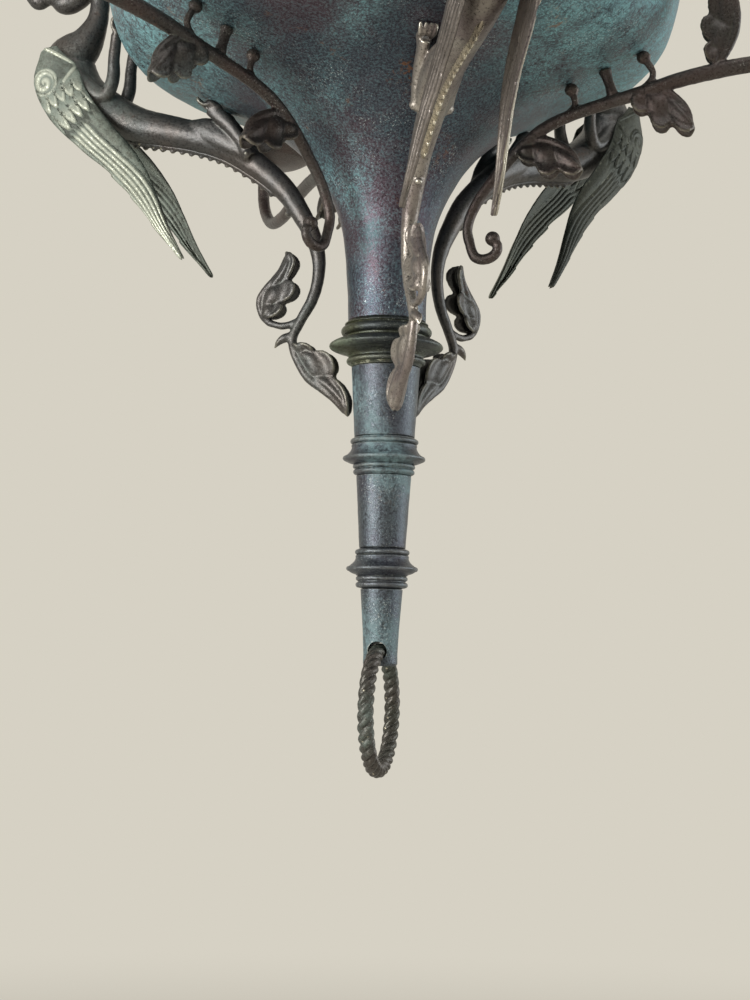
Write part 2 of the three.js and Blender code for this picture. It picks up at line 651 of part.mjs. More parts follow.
function tenon(hand, radius, depth) {
  const plug = new THREE.CylinderGeometry(radius, radius, depth, TENON_SIDES);
  plug.translate(at(...SHOULDER).x, hand * (SHOULDER_SIDE + WING_THICKNESS / 2 - depth / 2 + 0.2), at(...SHOULDER).z);
  return plug;
}

function wing(hand) {
  const line = [
    [190, 332, 14.6], [186, 318, 14.9], [178, 301, 15.4], [162, 283, 15.6], [147, 268.5, 16], [136, 255.5, 16.8],
    [127.5, 243, 18], [117, 226, 19.4], [105.5, 210, 20.6],
  ];
  const chord = [5, 13, 13, 11, 9.6, 8.2, 6, 3.2, 0.7];
  const widths = new THREE.SplineCurve(chord.map((w, i) => new THREE.Vector2(i, w)));
  const feathers = blade({
    points: line.map(([r, z, side]) => at(r, z, hand * (side + WING_GAP))),
    face: () => new THREE.Vector3(0, hand, 0),
    span: (u) => {
      const width = widths.getPoint(u).y;
      return [width, width];
    },
    lift: (u, v) => 0.5 * Math.cos(Math.PI * WING_FEATHERS * v) - 1.2 * v * v,
    thickness: WING_THICKNESS,
    steps: 9,
    lanes: 4,
  });
  return joined([feathers, tenon(hand, TENON_RADIUS, TENON_DEPTH + WING_THICKNESS / 2)]);
}

function dragon() {
  const sockets = [-1, 1].map((hand) => tenon(hand, TENON_RADIUS + RUNNING, TENON_DEPTH + WING_THICKNESS / 2 + 2 * RUNNING));
  const drills = hindFixings.map((f) => f.drill);
  const legs = [-1, 1].flatMap((hand, i) => [...hindLeg(hand, hindFixings[i]), ...foreLeg(hand)]);
  const flesh = joined([dragonTrunk(), ...dragonHead(), ...legs, ...tailLeaves()], [...sockets, ...drills]);
  return clearOfVase(flesh);
}

const dragonShape = dragon();
const wingShapes = { left: wing(1), right: wing(-1) };
DRAGON_AZIMUTHS.forEach((azimuth, i) => {
  const place = station(azimuth);
  const number = i + 1;
  add(place, `dragon_${number}`, dragonShape.clone(), BROWN);
  add(place, `dragon_${number}_left_wing`, wingShapes.left.clone(), VERDIGRIS);
  add(place, `dragon_${number}_right_wing`, wingShapes.right.clone(), VERDIGRIS);
  add(place, `dragon_${number}_left_screw`, hindFixings[1].screw.clone(), STEEL);
  add(place, `dragon_${number}_right_screw`, hindFixings[0].screw.clone(), STEEL);
  fixings.push(...hindFixings.map((f) => f.drill.clone().applyMatrix4(stationMatrix(azimuth))));
});

function stationMatrix(azimuth) {
  return new THREE.Matrix4().makeRotationZ(THREE.MathUtils.degToRad(azimuth - 90));
}

// Branches
const BOSS_RADIUS = 4.6;
const BOSS_AT = out(112);
const ARM_SCREW_REACH = 11;
const armFixing = fixing(BOSS_AT, 0, ARM_SCREW_REACH);
const ARM_END_Z = up(297) + ARM_RISE;
const SHOULDER_DISC = 9;
const PEG_RADIUS = 4;
const PAN_THICKNESS = 2.4;
const PAN_DEPTH = 8;
const CUP_FOOT = 4;
const CUP_FLOOR = 4;
const PEG_HEIGHT = PAN_THICKNESS + CUP_FOOT + 9;

// The branch rolls up in a volute beside the neck, climbs under the bowl and sweeps out to its candle.
// Beyond the bowl its line is set out by shares of the reach and the rise that are left.
const BOWL_END = [186, 301.5];
const ARM_LINE = [
  [44, 214, 2.6], [42, 225, 2.7], [47, 238.5, 2.8], [57, 252, 2.9], [68.5, 265, 3], [81, 275, 3.1], [96, 281.5, 3.2],
  [112, 286, 3.3], [130, 290.5, 3.5], [148, 295.5, 3.8], [166, 299, 4.1], [...BOWL_END, 4.1],
];
const SWING = [[0.25, 0.02], [0.55, -0.03], [0.82, 0.1], [0.98, 0.48], [1, 0.92], [1, 1]];
const DRAWN_ARM_RADIUS = 4.1;
const KNOB_RADIUS = 4;

function branchStem() {
  const start = at(...BOWL_END);
  const line = ARM_LINE.map(([r, z]) => at(r, z));
  const widths = ARM_LINE.map(([, , w]) => w * ARM_RADIUS / DRAWN_ARM_RADIUS);
  for (const [along, high] of SWING) {
    line.push(new THREE.Vector3(start.x + (ARM_REACH - start.x) * along, 0, start.z + (ARM_END_Z - start.z) * high));
    widths.push(ARM_RADIUS);
  }
  const main = limb(line, widths, { sides: 5, steps: 24 });
  const volute = limb([at(44, 214), at(49.5, 208.5), at(55.5, 210), at(58, 215.5)],
    [2.6, 2.5, 2.5, 2.4], { sides: 5, steps: 4 });
  const knob = new THREE.SphereGeometry(KNOB_RADIUS, 6, 4);
  knob.translate(...at(55.5, 219).toArray());
  return [main, volute, knob];
}

// Three leaves stand off the branch: two droop below it and the last one stands up beside the bowl.
// Thin tendrils curl from the branch up to the wall of the bowl.
const BRANCH_LEAF_HEIGHT = 17;

function branchLeaves() {
  return [
    foldedLeaf([at(71, 266), at(79, 270), at(88, 267), at(96, 260.5), at(101, 252.5)], BRANCH_LEAF_HEIGHT, -1),
    foldedLeaf([at(126, 290.5), at(136, 293), at(145.5, 288.5), at(153, 280), at(157, 270.5)], BRANCH_LEAF_HEIGHT, -1),
    foldedLeaf([at(167, 300.5), at(173, 309), at(177, 319), at(177.5, 330), at(175.5, 339), at(173, 346)], BRANCH_LEAF_HEIGHT, 1),
  ];
}

function branchTendrils() {
  const tendril = (points) => limb(points, points.map(() => 1.5), { sides: 4, steps: 5 });
  const touch = (r) => bowlAt(out(r)).point;
  const near = touch(94).addScaledVector(new THREE.Vector3(0, 0, -1), 0.6);
  const far = touch(129).addScaledVector(new THREE.Vector3(0, 0, -1), 0.6);
  return [
    tendril([at(84, 276), at(94, 284), at(100, 290), near]),
    tendril([at(122, 288), at(134, 296), at(138, 305), far]),
  ];
}

// The boss between branch and bowl takes the screw
function branchBoss() {
  const foot = armFixing.point.clone();
  const head = foot.clone().addScaledVector(armFixing.normal, ARM_SCREW_REACH + 3);
  return limb([head, foot.clone().addScaledVector(armFixing.normal, 5), foot], [BOSS_RADIUS * 0.8, BOSS_RADIUS * 0.8, BOSS_RADIUS],
    { sides: 6, steps: 2 });
}

// At its far end the branch has a shoulder and a peg that goes up through the pan into the cup
function branchEnd() {
  const end = turned([
    [0, ARM_END_Z - 9], [ARM_RADIUS, ARM_END_Z - 8], [ARM_RADIUS + 2, ARM_END_Z - 3], [SHOULDER_DISC, ARM_END_Z - 2],
    [SHOULDER_DISC, ARM_END_Z], [PEG_RADIUS, ARM_END_Z], [PEG_RADIUS, ARM_END_Z + PEG_HEIGHT], [0, ARM_END_Z + PEG_HEIGHT],
  ], SMALL_SIDES);
  end.translate(ARM_REACH, 0, 0);
  return end;
}

function branch() {
  const parts = [...branchStem(), ...branchLeaves(), ...branchTendrils(), branchBoss(), branchEnd()];
  return clearOfVase(joined(parts, [armFixing.drill]));
}

const PAN_SIDES = 12;
const panZ = ARM_END_Z + SEAT;
const cupZ = panZ + PAN_THICKNESS + SEAT;
const cupFloorZ = ARM_END_Z + PEG_HEIGHT + 1 + CUP_FLOOR;
const cupTopZ = cupFloorZ + CUP_DEPTH;

function dripPan() {
  const hole = PEG_RADIUS + RUNNING;
  const t = PAN_THICKNESS;
  const pan = turned([
    [hole, panZ], [PAN_RADIUS * 0.34, panZ], [PAN_RADIUS * 0.78, panZ + PAN_DEPTH * 0.4], [PAN_RADIUS, panZ + PAN_DEPTH],
    [PAN_RADIUS - 1.2, panZ + PAN_DEPTH + t * 0.6], [PAN_RADIUS * 0.76, panZ + PAN_DEPTH * 0.4 + t],
    [PAN_RADIUS * 0.34, panZ + t], [hole, panZ + t], [hole, panZ],
  ], PAN_SIDES);
  pan.translate(ARM_REACH, 0, 0);
  return pan;
}

function candleCup() {
  const inner = CANDLE_RADIUS + RUNNING;
  const outer = inner + CUP_WALL;
  const hole = PEG_RADIUS + RUNNING;
  const rise = cupTopZ - cupZ;
  const cup = turned([
    [hole, cupZ], [SHOULDER_DISC, cupZ], [SHOULDER_DISC - 1.5, cupZ + CUP_FOOT], [outer * 0.8, cupZ + rise * 0.28],
    [outer, cupZ + rise * 0.5], [outer - 0.8, cupZ + rise * 0.8], [outer + 1.6, cupTopZ - 1.5], [outer + 1, cupTopZ],
    [inner, cupTopZ], [inner, cupFloorZ], [0, cupFloorZ], [0, cupFloorZ - CUP_FLOOR], [hole, cupFloorZ - CUP_FLOOR],
    [hole, cupZ],
  ], SMALL_SIDES);
  cup.translate(ARM_REACH, 0, 0);
  return cup;
}

const branchShape = branch();
const panShape = dripPan();
const cupShape = candleCup();
BRANCH_AZIMUTHS.forEach((azimuth, i) => {
  const place = station(azimuth);
  const number = i + 1;
  add(place, `branch_${number}`, branchShape.clone(), BROWN);
  add(place, `branch_${number}_screw`, armFixing.screw.clone(), STEEL);
  add(place, `drip_pan_${number}`, panShape.clone(), VERDIGRIS);
  add(place, `candle_cup_${number}`, cupShape.clone(), BROWN);
  fixings.push(armFixing.drill.clone().applyMatrix4(stationMatrix(azimuth)));
});

// The vase: bowl below, dome above, and a lip under the dome that drops into the rim of the bowl
function lowerBowl() {
  const wall = offset(bowlOutline, -VASE_WALL);
  const inner = wall.filter((p, i) => i % 2 === 0).reverse();
  inner.splice(0, 1, [VASE_RADIUS - VASE_WALL, RIM_Z], [VASE_RADIUS - VASE_WALL, RIM_Z - LIP_HEIGHT - 2]);
  inner[inner.length - 1] = [NECK_RADIUS - VASE_WALL, BOWL_Z];
  return joined([turned([...bowlOutline, ...inner, bowlOutline[0]], VASE_SIDES)], fixings);
}

function upperDome() {
  const wall = offset(domeOutline, -VASE_WALL);
  const inner = wall.filter((p, i) => i % 2 === 0 && i > 0 && i < wall.length - 1).reverse();
  const lipOuter = VASE_RADIUS - VASE_WALL - RUNNING;
  const top = DOME_Z + DOME_HEIGHT;
  return turned([
    ...domeOutline, [boreRadius, top], [boreRadius, top - VASE_WALL], [DOME_TOP_RADIUS - VASE_WALL, top - VASE_WALL],
    ...inner, [lipOuter - VASE_WALL, DOME_Z], [lipOuter - VASE_WALL, RIM_Z - LIP_HEIGHT],
    [lipOuter, RIM_Z - LIP_HEIGHT], [lipOuter, DOME_Z], domeOutline[0],
  ], VASE_SIDES);
}

add(chandelier, 'lower_bowl', lowerBowl(), VERDIGRIS);
add(chandelier, 'upper_dome', upperDome(), VERDIGRIS);

// Above the dome: a crown collar, a short baluster and the loop that screws onto the tie rod
function crownCollar() {
  const z = CROWN_Z;
  const h = CROWN_HEIGHT;
  const r = DOME_TOP_RADIUS;
  return bored([
    [r, z], ...roll(r, z + h * 0.16, 3, h * 0.13), [r - 5, z + h * 0.36], [r - 14, z + h * 0.62],
    ...roll(r - 17, z + h * 0.82, 3, h * 0.12), [r - 18, z + h],
  ], boreRadius);
}

function topStem() {
  const z = TOP_STEM_Z;
  const h = TOP_STEM_LENGTH;
  return bored([
    [12, z], [10, z + h * 0.12], [13.5, z + h * 0.3], [15, z + h * 0.45], [11, z + h * 0.7], [8.5, z + h * 0.85],
    [11.5, z + h * 0.93], [11.5, z + h],
  ], boreRadius);
}

function suspensionLoop() {
  const z = LOOP_Z;
  const h = LOOP_BASE_HEIGHT;
  const base = turned([
    [boreRadius, z], [13, z], [13.6, z + h * 0.2], [11, z + h * 0.45], [12, z + h * 0.6], [7, z + h], [0, z + h + 2],
    [0, rodTop + ROD_END_GAP], [boreRadius, rodTop + ROD_END_GAP], [boreRadius, z],
  ], SMALL_SIDES);
  const eye = new THREE.TorusGeometry(EYE_RADIUS + EYE_WIRE_RADIUS, EYE_WIRE_RADIUS, 6, 20);
  eye.rotateX(Math.PI / 2);
  eye.translate(0, 0, EYE_CENTRE_Z);
  return joined([base, eye]);
}

add(chandelier, 'crown_collar', crownCollar(), GILT);
add(chandelier, 'top_stem', topStem(), PATINA);
add(chandelier, 'suspension_loop', suspensionLoop(), BROWN);

export default chandelier;
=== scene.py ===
# %% [markdown]
# # A bronze chandelier with three winged dragons
# The object is the body of an old chandelier: a hollow vase that narrows into a turned stem, three dragons
# that cling to the vase with their tails beside the stem, and three leafy branches that carry the candle
# cups. Each cell makes one kind of piece, in metres, in the same frame as the measured model.

import math
from functools import lru_cache

import bmesh
import bpy
from mathutils import Matrix, Vector, noise


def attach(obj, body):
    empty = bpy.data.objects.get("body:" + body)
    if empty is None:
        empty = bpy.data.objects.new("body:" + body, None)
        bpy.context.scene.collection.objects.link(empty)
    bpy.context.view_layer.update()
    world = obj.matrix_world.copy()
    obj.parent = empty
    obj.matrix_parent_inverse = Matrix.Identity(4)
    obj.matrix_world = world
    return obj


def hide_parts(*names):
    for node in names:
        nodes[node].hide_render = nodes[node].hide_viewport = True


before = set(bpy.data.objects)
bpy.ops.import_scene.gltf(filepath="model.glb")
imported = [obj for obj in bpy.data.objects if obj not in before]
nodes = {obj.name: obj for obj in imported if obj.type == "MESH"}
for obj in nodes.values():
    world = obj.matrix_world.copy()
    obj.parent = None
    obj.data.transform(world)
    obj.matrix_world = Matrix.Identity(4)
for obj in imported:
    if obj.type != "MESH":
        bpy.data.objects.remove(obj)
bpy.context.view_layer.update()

# %% [markdown]
# ## Drawing places
# The pieces were drawn with heights in millimetres from the foot of the stem, because that is where a bench
# ruler would start. The model's own zero is the crown of the suspension eye, 615 mm higher. A dragon or a
# branch is drawn in the upright plane through the axis, pointing along +X, and then turned to its place
# round the vase.

# %% Places
MM = 0.001
EYE_HEIGHT = 615.0
DRAGON_TURNS = (0, 120, 240)
BRANCH_TURNS = (60, 180, 300)


def at(radius, height, side=0.0):
    """A point in metres, from millimetres: distance from the axis, height above the stem's foot, sideways."""
    return Vector((radius, side, height - EYE_HEIGHT)) * MM


def station(azimuth):
    """Turns a piece that was drawn along +X: azimuth 0 faces the front, -Y."""
    return Matrix.Rotation(math.radians(azimuth - 90), 4, "Z")


# %% [markdown]
# ## The camera
# The photograph was taken from just beside the foot of the stem, level with it, looking slightly upwards,
# with the lens about 0.9 m away. The place was worked out from how flat the ring mouldings look at their
# heights. The image is 1000 pixels high, and the lens gives 1740 pixels per unit of depth.

# %% Camera
FOCAL_PIXELS = 1740
IMAGE_HEIGHT = 1000
SENSOR = 36.0
STANDPOINT = Vector((-0.23035, -0.85967, -0.6096))
HEADING, PITCH, ROLL, FRAME_TURN = (math.radians(a) for a in (-0.274, 5.1, 1.129, -15))


def photographer():
    """The camera's own matrix: right, up and backwards, and where it stands."""
    ahead = Vector((math.sin(HEADING), math.cos(HEADING), 0))
    sideways = Vector((math.cos(HEADING), -math.sin(HEADING), 0))
    forward = ahead * math.cos(PITCH) + Vector((0, 0, math.sin(PITCH)))
    upright = sideways.cross(forward)
    right = sideways * math.cos(ROLL) + upright * math.sin(ROLL)
    up = upright * math.cos(ROLL) - sideways * math.sin(ROLL)
    turn = Matrix.Rotation(FRAME_TURN, 3, "Z")
    axes = Matrix((turn @ right, turn @ up, turn @ -forward)).transposed()
    return Matrix.Translation(STANDPOINT) @ axes.to_4x4()


lens = bpy.data.cameras.new("photograph")
lens.lens = FOCAL_PIXELS * SENSOR / IMAGE_HEIGHT
lens.sensor_width = SENSOR
lens.sensor_fit = "AUTO"
lens.clip_start = 0.05
camera = bpy.data.objects.new("photograph", lens)
camera.matrix_world = photographer()
bpy.context.scene.collection.objects.link(camera)
bpy.context.scene.camera = camera
bpy.context.scene.view_settings.view_transform = "Standard"
print("lens", round(lens.lens, 2), "mm")

# %% [markdown]
# ## Building materials from nodes
# A material is a small graph of nodes. Small helpers keep the graphs readable: `put` adds a node and sets
# or links its inputs, `ink` turns a screen colour into the linear values that the renderer works with, and
# the others make the few kinds of node that the finishes use again and again.


# %% Node helpers
def ink(red, green, blue):
    """A screen colour, 0 to 255, as linear values."""
    linear = []
    for part in (red, green, blue):
        share = part / 255
        linear.append(share / 12.92 if share <= 0.04045 else ((share + 0.055) / 1.055) ** 2.4)
    return (*linear, 1.0)


def put(tree, kind, inputs=None, **settings):
    """Adds a node. Inputs are given by name or number, as a value or as another node's output."""
    node = tree.nodes.new(kind)
    for name, value in settings.items():
        setattr(node, name, value)
    for key, value in (inputs or {}).items():
        socket = node.inputs[key]
        if isinstance(value, bpy.types.NodeSocket):
            tree.links.new(value, socket)
        else:
            socket.default_value = value
    return node


def blend_colour(tree, share, first, second):
    """Mixes two colours: a share of 0 keeps the first."""
    return put(tree, "ShaderNodeMix", {0: share, 6: first, 7: second}, data_type="RGBA").outputs[2]


def ramp(tree, value, low, high, start=0.0, end=1.0):
    """A soft step: start below low and end above high."""
    inputs = {0: value, 1: low, 2: high, 3: start, 4: end}
    return put(tree, "ShaderNodeMapRange", inputs, interpolation_type="SMOOTHSTEP").outputs[0]


def grain(tree, where, scale, detail, rough, bend=0.0):
    """Cloudy noise, about 1/scale metres across."""
    inputs = {"Vector": where, "Scale": scale, "Detail": detail, "Roughness": rough, "Distortion": bend}
    return put(tree, "ShaderNodeTexNoise", inputs).outputs["Fac"]


def sums(tree, way, first, second):
    """One step of arithmetic."""
    return put(tree, "ShaderNodeMath", {0: first, 1: second}, operation=way).outputs[0]


def empty_tree(holder):
    """The node tree of a new material or world, with nothing in it."""
    holder.use_nodes = True
    holder.node_tree.nodes.clear()
    return holder.node_tree


# %% [markdown]
# ## Patinated bronze
# Old bronze is metal only where hands and weather rub it. Elsewhere a dark brown or slate skin covers it,
# green and turquoise salts grow on that as fine specks, thickest where damp stays, and pale dust lies in
# the hollows. So the finish is built in the order in which it grew, with painted glints among the layers:
# skin, clouds of a second tint, green growth in patches and specks, painted glints (pale specks that stand in
# for glints of light), rust grains, dust in the hollows, and last the bright metal on the edges.


# %% The patina recipe
CLOUD_SCALE, DRIFT_SCALE, SHOWER_SCALE, PATCH_SCALE = 22, 9, 30, 34
SHEET_SCALE, RUST_SCALE, FLECK_SCALE, PEPPER_SCALE = 240, 480, 820, 1150
PIT_COLOUR = (0.006, 0.006, 0.007, 1)
GRIT_HEIGHT, GRIT_STRENGTH = 0.00035, 0.55
METAL_UNDER_GROWTH, METAL_BARE = 0.15, 0.72


def patina(name, palette, amounts, gloss, grit, band=None, relief=None):
    """The palette is seven screen colours: skin, clouds, growth, sparkle, rust, dust and bright edges.

    amounts are the shares of growth, specks, painted glints, rust, dust and bright edges, and gloss is the
    roughness of the skin and of the growth. band adds growth at some places, and relief names an attribute
    that says how high the ornament stands.
    """
    skin, cloud, growth, painted_glint, rust, dust, bright = (ink(*tint) for tint in palette)
    growth_share, speck_share, painted_glint_share, rust_share, dust_share, bright_share = amounts
    material = bpy.data.materials.new(name)
    tree = empty_tree(material)
    where = put(tree, "ShaderNodeTexCoord").outputs["Object"]

    def noisy(*settings):
        return grain(tree, where, *settings)

    def step(value, *limits):
        return ramp(tree, value, *limits)

    def plus(first, second):
        return sums(tree, "ADD", first, second)

    def minus(first, second):
        return sums(tree, "SUBTRACT", first, second)

    def times(first, second):
        return sums(tree, "MULTIPLY", first, second)

    def cover(share, under, over):
        return blend_colour(tree, share, under, over)

    # Skin with clouds of a second tint and dark pits
    clouds = noisy(CLOUD_SCALE, 6, 0.62, 0.6)
    fleck = noisy(FLECK_SCALE, 4, 0.75)
    pepper = noisy(PEPPER_SCALE, 3, 0.75)
    colour = cover(step(clouds, 0.36, 0.62), skin, cloud)
    colour = cover(step(fleck, 0.47, 0.36, 0.0, 0.7), colour, PIT_COLOUR)

    # Growth as thin sheets and as specks round them
    reach = 0.4 * growth_share
    spread = step(noisy(DRIFT_SCALE, 3, 0.5, 0.8), 0.62 - reach, 0.8 - reach)
    if band is not None:
        spread = sums(tree, "MAXIMUM", spread, band(tree, where))
    sheet = times(spread, step(noisy(SHEET_SCALE, 6, 0.75), 0.38, 0.62, 0.2, 1.0))
    colour = cover(times(sheet, 0.35 + growth_share), colour, growth)
    specks = times(step(fleck, 0.5, 0.58), plus(times(spread, 0.78), 0.22))
    colour = cover(times(specks, speck_share), colour, growth)

    # Showers of painted glints, pale specks that stand in for glints of light, and grains of rust
    showers = step(noisy(SHOWER_SCALE, 5, 0.7, 0.4), 0.46, 0.68, 0.08, 1.0)
    glints = times(showers, step(pepper, 0.585, 0.65))
    colour = cover(times(glints, painted_glint_share), colour, painted_glint)
    patches = step(noisy(PATCH_SCALE, 4, 0.6, 0.5), 0.6, 0.72)
    grains = times(patches, step(noisy(RUST_SCALE, 2, 0.6), 0.5, 0.58))
    colour = cover(times(grains, rust_share), colour, rust)

    # Dust in the hollows and bright metal on the edges
    uneven = minus(clouds, 0.5)
    shape = plus(put(tree, "ShaderNodeNewGeometry").outputs["Pointiness"], times(uneven, 0.06))
    colour = cover(times(step(shape, 0.49, 0.43), dust_share), colour, dust)
    edge = times(step(shape, 0.52, 0.58), bright_share)
    if relief is not None:
        raised = put(tree, "ShaderNodeAttribute", attribute_name=relief).outputs["Fac"]
        worn = plus(raised, times(uneven, 1.2))
        colour = cover(times(step(worn, 0.3, 0.0), dust_share), colour, dust)
        edge = times(step(worn, 0.35, 1.15), bright_share)
    colour = cover(edge, colour, bright)

    # Gloss, metal and fine relief
    rough = step(plus(specks, sheet), 0.0, 1.0, *gloss)
    rough = plus(rough, times(minus(pepper, 0.5), 0.3))
    rough = minus(rough, times(edge, 0.12))
    bare = minus(1.0, sums(tree, "MAXIMUM", specks, sheet))
    metal = step(bare, 0.0, 1.0, METAL_UNDER_GROWTH, METAL_BARE)
    height = plus(plus(times(fleck, 0.7), times(pepper, 0.3)), times(specks, 0.35))
    bump = put(
        tree, "ShaderNodeBump", {"Height": height, "Distance": GRIT_HEIGHT, "Strength": GRIT_STRENGTH * grit}
    )
    inputs = {"Base Color": colour, "Roughness": rough, "Metallic": metal, "Normal": bump.outputs[0]}
    shader = put(tree, "ShaderNodeBsdfPrincipled", inputs)
    put(tree, "ShaderNodeOutputMaterial", {"Surface": shader.outputs[0]})
    return material


# %% [markdown]
# The vase is the greenest piece, above all round its belly and at both sides as the front view sees them,
# and turns to dark slate under the middle and to a bluish lead colour on the neck. The extra band of growth
# colour follows the height and those two sides.


# %% Vase finish
def front_side_band(tree, where):
    """More growth colour high on the belly and towards both sides as the front view sees them, less in the
    middle of the front.
    """
    facing = put(tree, "ShaderNodeMapping", {"Vector": where, "Rotation": (0, 0, -FRAME_TURN)}).outputs[0]
    place = put(tree, "ShaderNodeSeparateXYZ", {0: facing})
    right = ramp(tree, place.outputs["X"], 0.03, 0.075)
    left = ramp(tree, place.outputs["X"], -0.062, -0.1)
    belly = ramp(tree, place.outputs["Z"], -0.345, -0.3)
    patchy = ramp(tree, grain(tree, where, 26, 5, 0.65, 0.7), 0.34, 0.6, 0.35, 1.0)
    beside = sums(tree, "MAXIMUM", right, left)
    return sums(tree, "MULTIPLY", sums(tree, "MULTIPLY", beside, belly), patchy)


RUST = (128, 84, 52)

vase_finish = patina(
    "vase_patina",
    ((62, 67, 78), (78, 66, 76), (120, 172, 178), (196, 212, 214), RUST, (120, 124, 108), (176, 160, 116)),
    (0.26, 0.8, 0.9, 0.7, 0.3, 0.2), (0.38, 0.68), 1.2, band=front_side_band,
)
print("vase finish", len(vase_finish.node_tree.nodes), "nodes")

# %% [markdown]
# The other castings share the recipe with other palettes and amounts. The stem was handled, so it is
# smoother and paler. The collar keeps a gold-green cove. The branches are a dark grey-brown and the dragons
# grey. The front dragon with its wings is a paler brown, with its crest rubbed bright, and both the paler
# tone and the bright crest are partly painted highlight. The wings of the other two are grey-green with pale
# feather edges and a darker inner side that is painted shade, and the rope ring is dark with its strands
# rubbed bright.

# %% Other finishes
stem_finish = patina(
    "stem_patina",
    ((70, 76, 82), (62, 62, 72), (110, 138, 142), (200, 208, 206), RUST, (140, 144, 134), (168, 172, 164)),
    (0.3, 0.45, 0.5, 0.1, 0.7, 0.5), (0.36, 0.6), 1.2,
)
collar_finish = patina(
    "collar_patina",
    ((56, 60, 62), (72, 74, 56), (102, 116, 100), (190, 196, 186), RUST, (104, 106, 62), (160, 162, 146)),
    (0.3, 0.5, 1.0, 0.2, 0.8, 0.6), (0.36, 0.6), 1.3,
)
dragon_finish = patina(
    "dragon_bronze",
    ((70, 70, 70), (80, 75, 72), (92, 106, 100), (170, 170, 160), (110, 76, 60), (84, 92, 84),
     (158, 156, 140)),
    (0.12, 0.25, 0.25, 0.25, 0.45, 0.6), (0.38, 0.6), 0.7,
)
# The front dragon's finish is a paler copy of the dragon finish with stronger bright edges: partly a paler,
# more rubbed patina, partly painted highlight where that dragon faces the light.
front_tone_and_highlight_finish = patina(
    "front_dragon_bronze_and_painted_highlight",
    ((140, 134, 126), (112, 102, 100), (104, 110, 106), (206, 204, 196), (116, 86, 74), (66, 64, 62),
     (206, 201, 186)),
    (0.14, 0.3, 0.35, 0.3, 0.5, 0.85), (0.32, 0.55), 0.7,
)
wing_finish = patina(
    "wing_bronze",
    ((72, 75, 69), (90, 92, 84), (118, 130, 120), (190, 198, 184), (100, 84, 66), (40, 43, 38),
     (160, 164, 150)),
    (0.3, 0.45, 0.4, 0.1, 0.75, 0.85), (0.42, 0.64), 0.8, relief="raised",
)
# A darker copy of the wing finish for the inner side of the grey-green wings: painted shade on the side that
# turns in towards the body.
wing_inside_painted_shade_finish = patina(
    "wing_inside_painted_shade_bronze",
    ((44, 48, 43), (54, 56, 48), (84, 94, 82), (140, 146, 132), (90, 70, 52), (36, 38, 34), (110, 112, 98)),
    (0.25, 0.35, 0.2, 0.1, 0.4, 0.3), (0.46, 0.66), 0.8,
)
# The front dragon's wings, paler brown with bright raised feather edges: partly rubbed wear, partly a painted
# highlight along those edges.
brown_wing_and_highlight_finish = patina(
    "brown_wing_bronze_and_painted_highlight",
    ((108, 102, 96), (90, 82, 84), (100, 108, 104), (190, 188, 180), (110, 82, 72), (62, 58, 57),
     (186, 179, 162)),
    (0.14, 0.3, 0.35, 0.25, 0.5, 0.85), (0.38, 0.58), 0.7, relief="raised",
)
branch_finish = patina(
    "branch_bronze",
    ((60, 56, 54), (72, 61, 58), (96, 112, 108), (190, 190, 184), (112, 76, 58), (84, 88, 76),
     (136, 132, 114)),
    (0.16, 0.3, 0.5, 0.3, 0.4, 0.45), (0.4, 0.62), 0.8,
)
ring_finish = patina(
    "ring_bronze",
    ((60, 60, 54), (70, 65, 62), (84, 104, 96), (170, 170, 156), (112, 82, 64), (30, 32, 30),
     (164, 158, 140)),
    (0.2, 0.25, 0.3, 0.2, 0.75, 0.75), (0.36, 0.58), 0.7,
)
# Pale gold for the front dragon's keel and teeth: partly rubbed wear, partly a painted highlight along that
# ridge.
rubbed_and_highlight_finish = patina(
    "rubbed_bronze_and_painted_highlight",
    ((158, 149, 130), (134, 124, 110), (150, 144, 126), (224, 220, 204), (112, 86, 70), (72, 66, 60),
     (216, 210, 192)),
    (0.0, 0.1, 0.2, 0.1, 0.7, 0.9), (0.24, 0.46), 0.4,
)
steel_finish = patina(
    "steel",
    ((118, 118, 118), (96, 94, 92), (90, 84, 78), (190, 190, 190), (104, 70, 50), (60, 58, 56),
     (190, 190, 190)),
    (0.05, 0.1, 0.1, 0.25, 0.3, 0.5), (0.34, 0.6), 0.4,
)
print("finishes", len(bpy.data.materials))

# %% [markdown]
# ## Curves through points
# Castings like these follow swinging lines. A smooth curve through a few measured points gives each line,
# and a second one gives the thickness along it. The formulas are the usual ones for Catmull-Rom curves, in
# the form that doesn't overshoot where points lie close together.


# %% Curves
HEADING_STEP = 0.0015


def _span(count, share):
    place = min(max(share, 0.0), 1.0) * (count - 1)
    first = min(int(place), count - 2)
    return first, place - first


def _cubic(start, end, leave, arrive, t):
    bend = 2 * start - 2 * end + leave + arrive
    slope = -3 * start + 3 * end - 2 * leave - arrive
    return start + leave * t + slope * t * t + bend * t * t * t


@lru_cache(maxsize=None)
def level(values, share):
    """A number that runs smoothly through the given ones, with share from 0 to 1."""
    i, t = _span(len(values), share)
    before, after = values[max(i - 1, 0)], values[min(i + 2, len(values) - 1)]
    start, end = values[i], values[i + 1]
    return _cubic(start, end, (end - before) / 2, (after - start) / 2, t)


@lru_cache(maxsize=None)
def run(points, share):
    """A point on the smooth curve through the points, which are tuples in metres."""
    places = [Vector(p) for p in points]
    i, t = _span(len(places), share)
    start, end = places[i], places[i + 1]
    before = places[i - 1] if i > 0 else 2 * start - end
    after = places[i + 2] if i + 2 < len(places) else 2 * end - start
    gaps = [max(math.sqrt((b - a).length), 1e-5) for a, b in ((before, start), (start, end), (end, after))]
    leave = (start - before) / gaps[0] - (end - before) / (gaps[0] + gaps[1]) + (end - start) / gaps[1]
    arrive = (end - start) / gaps[1] - (after - start) / (gaps[1] + gaps[2]) + (after - end) / gaps[2]
    return _cubic(start, end, leave * gaps[1], arrive * gaps[1], t)


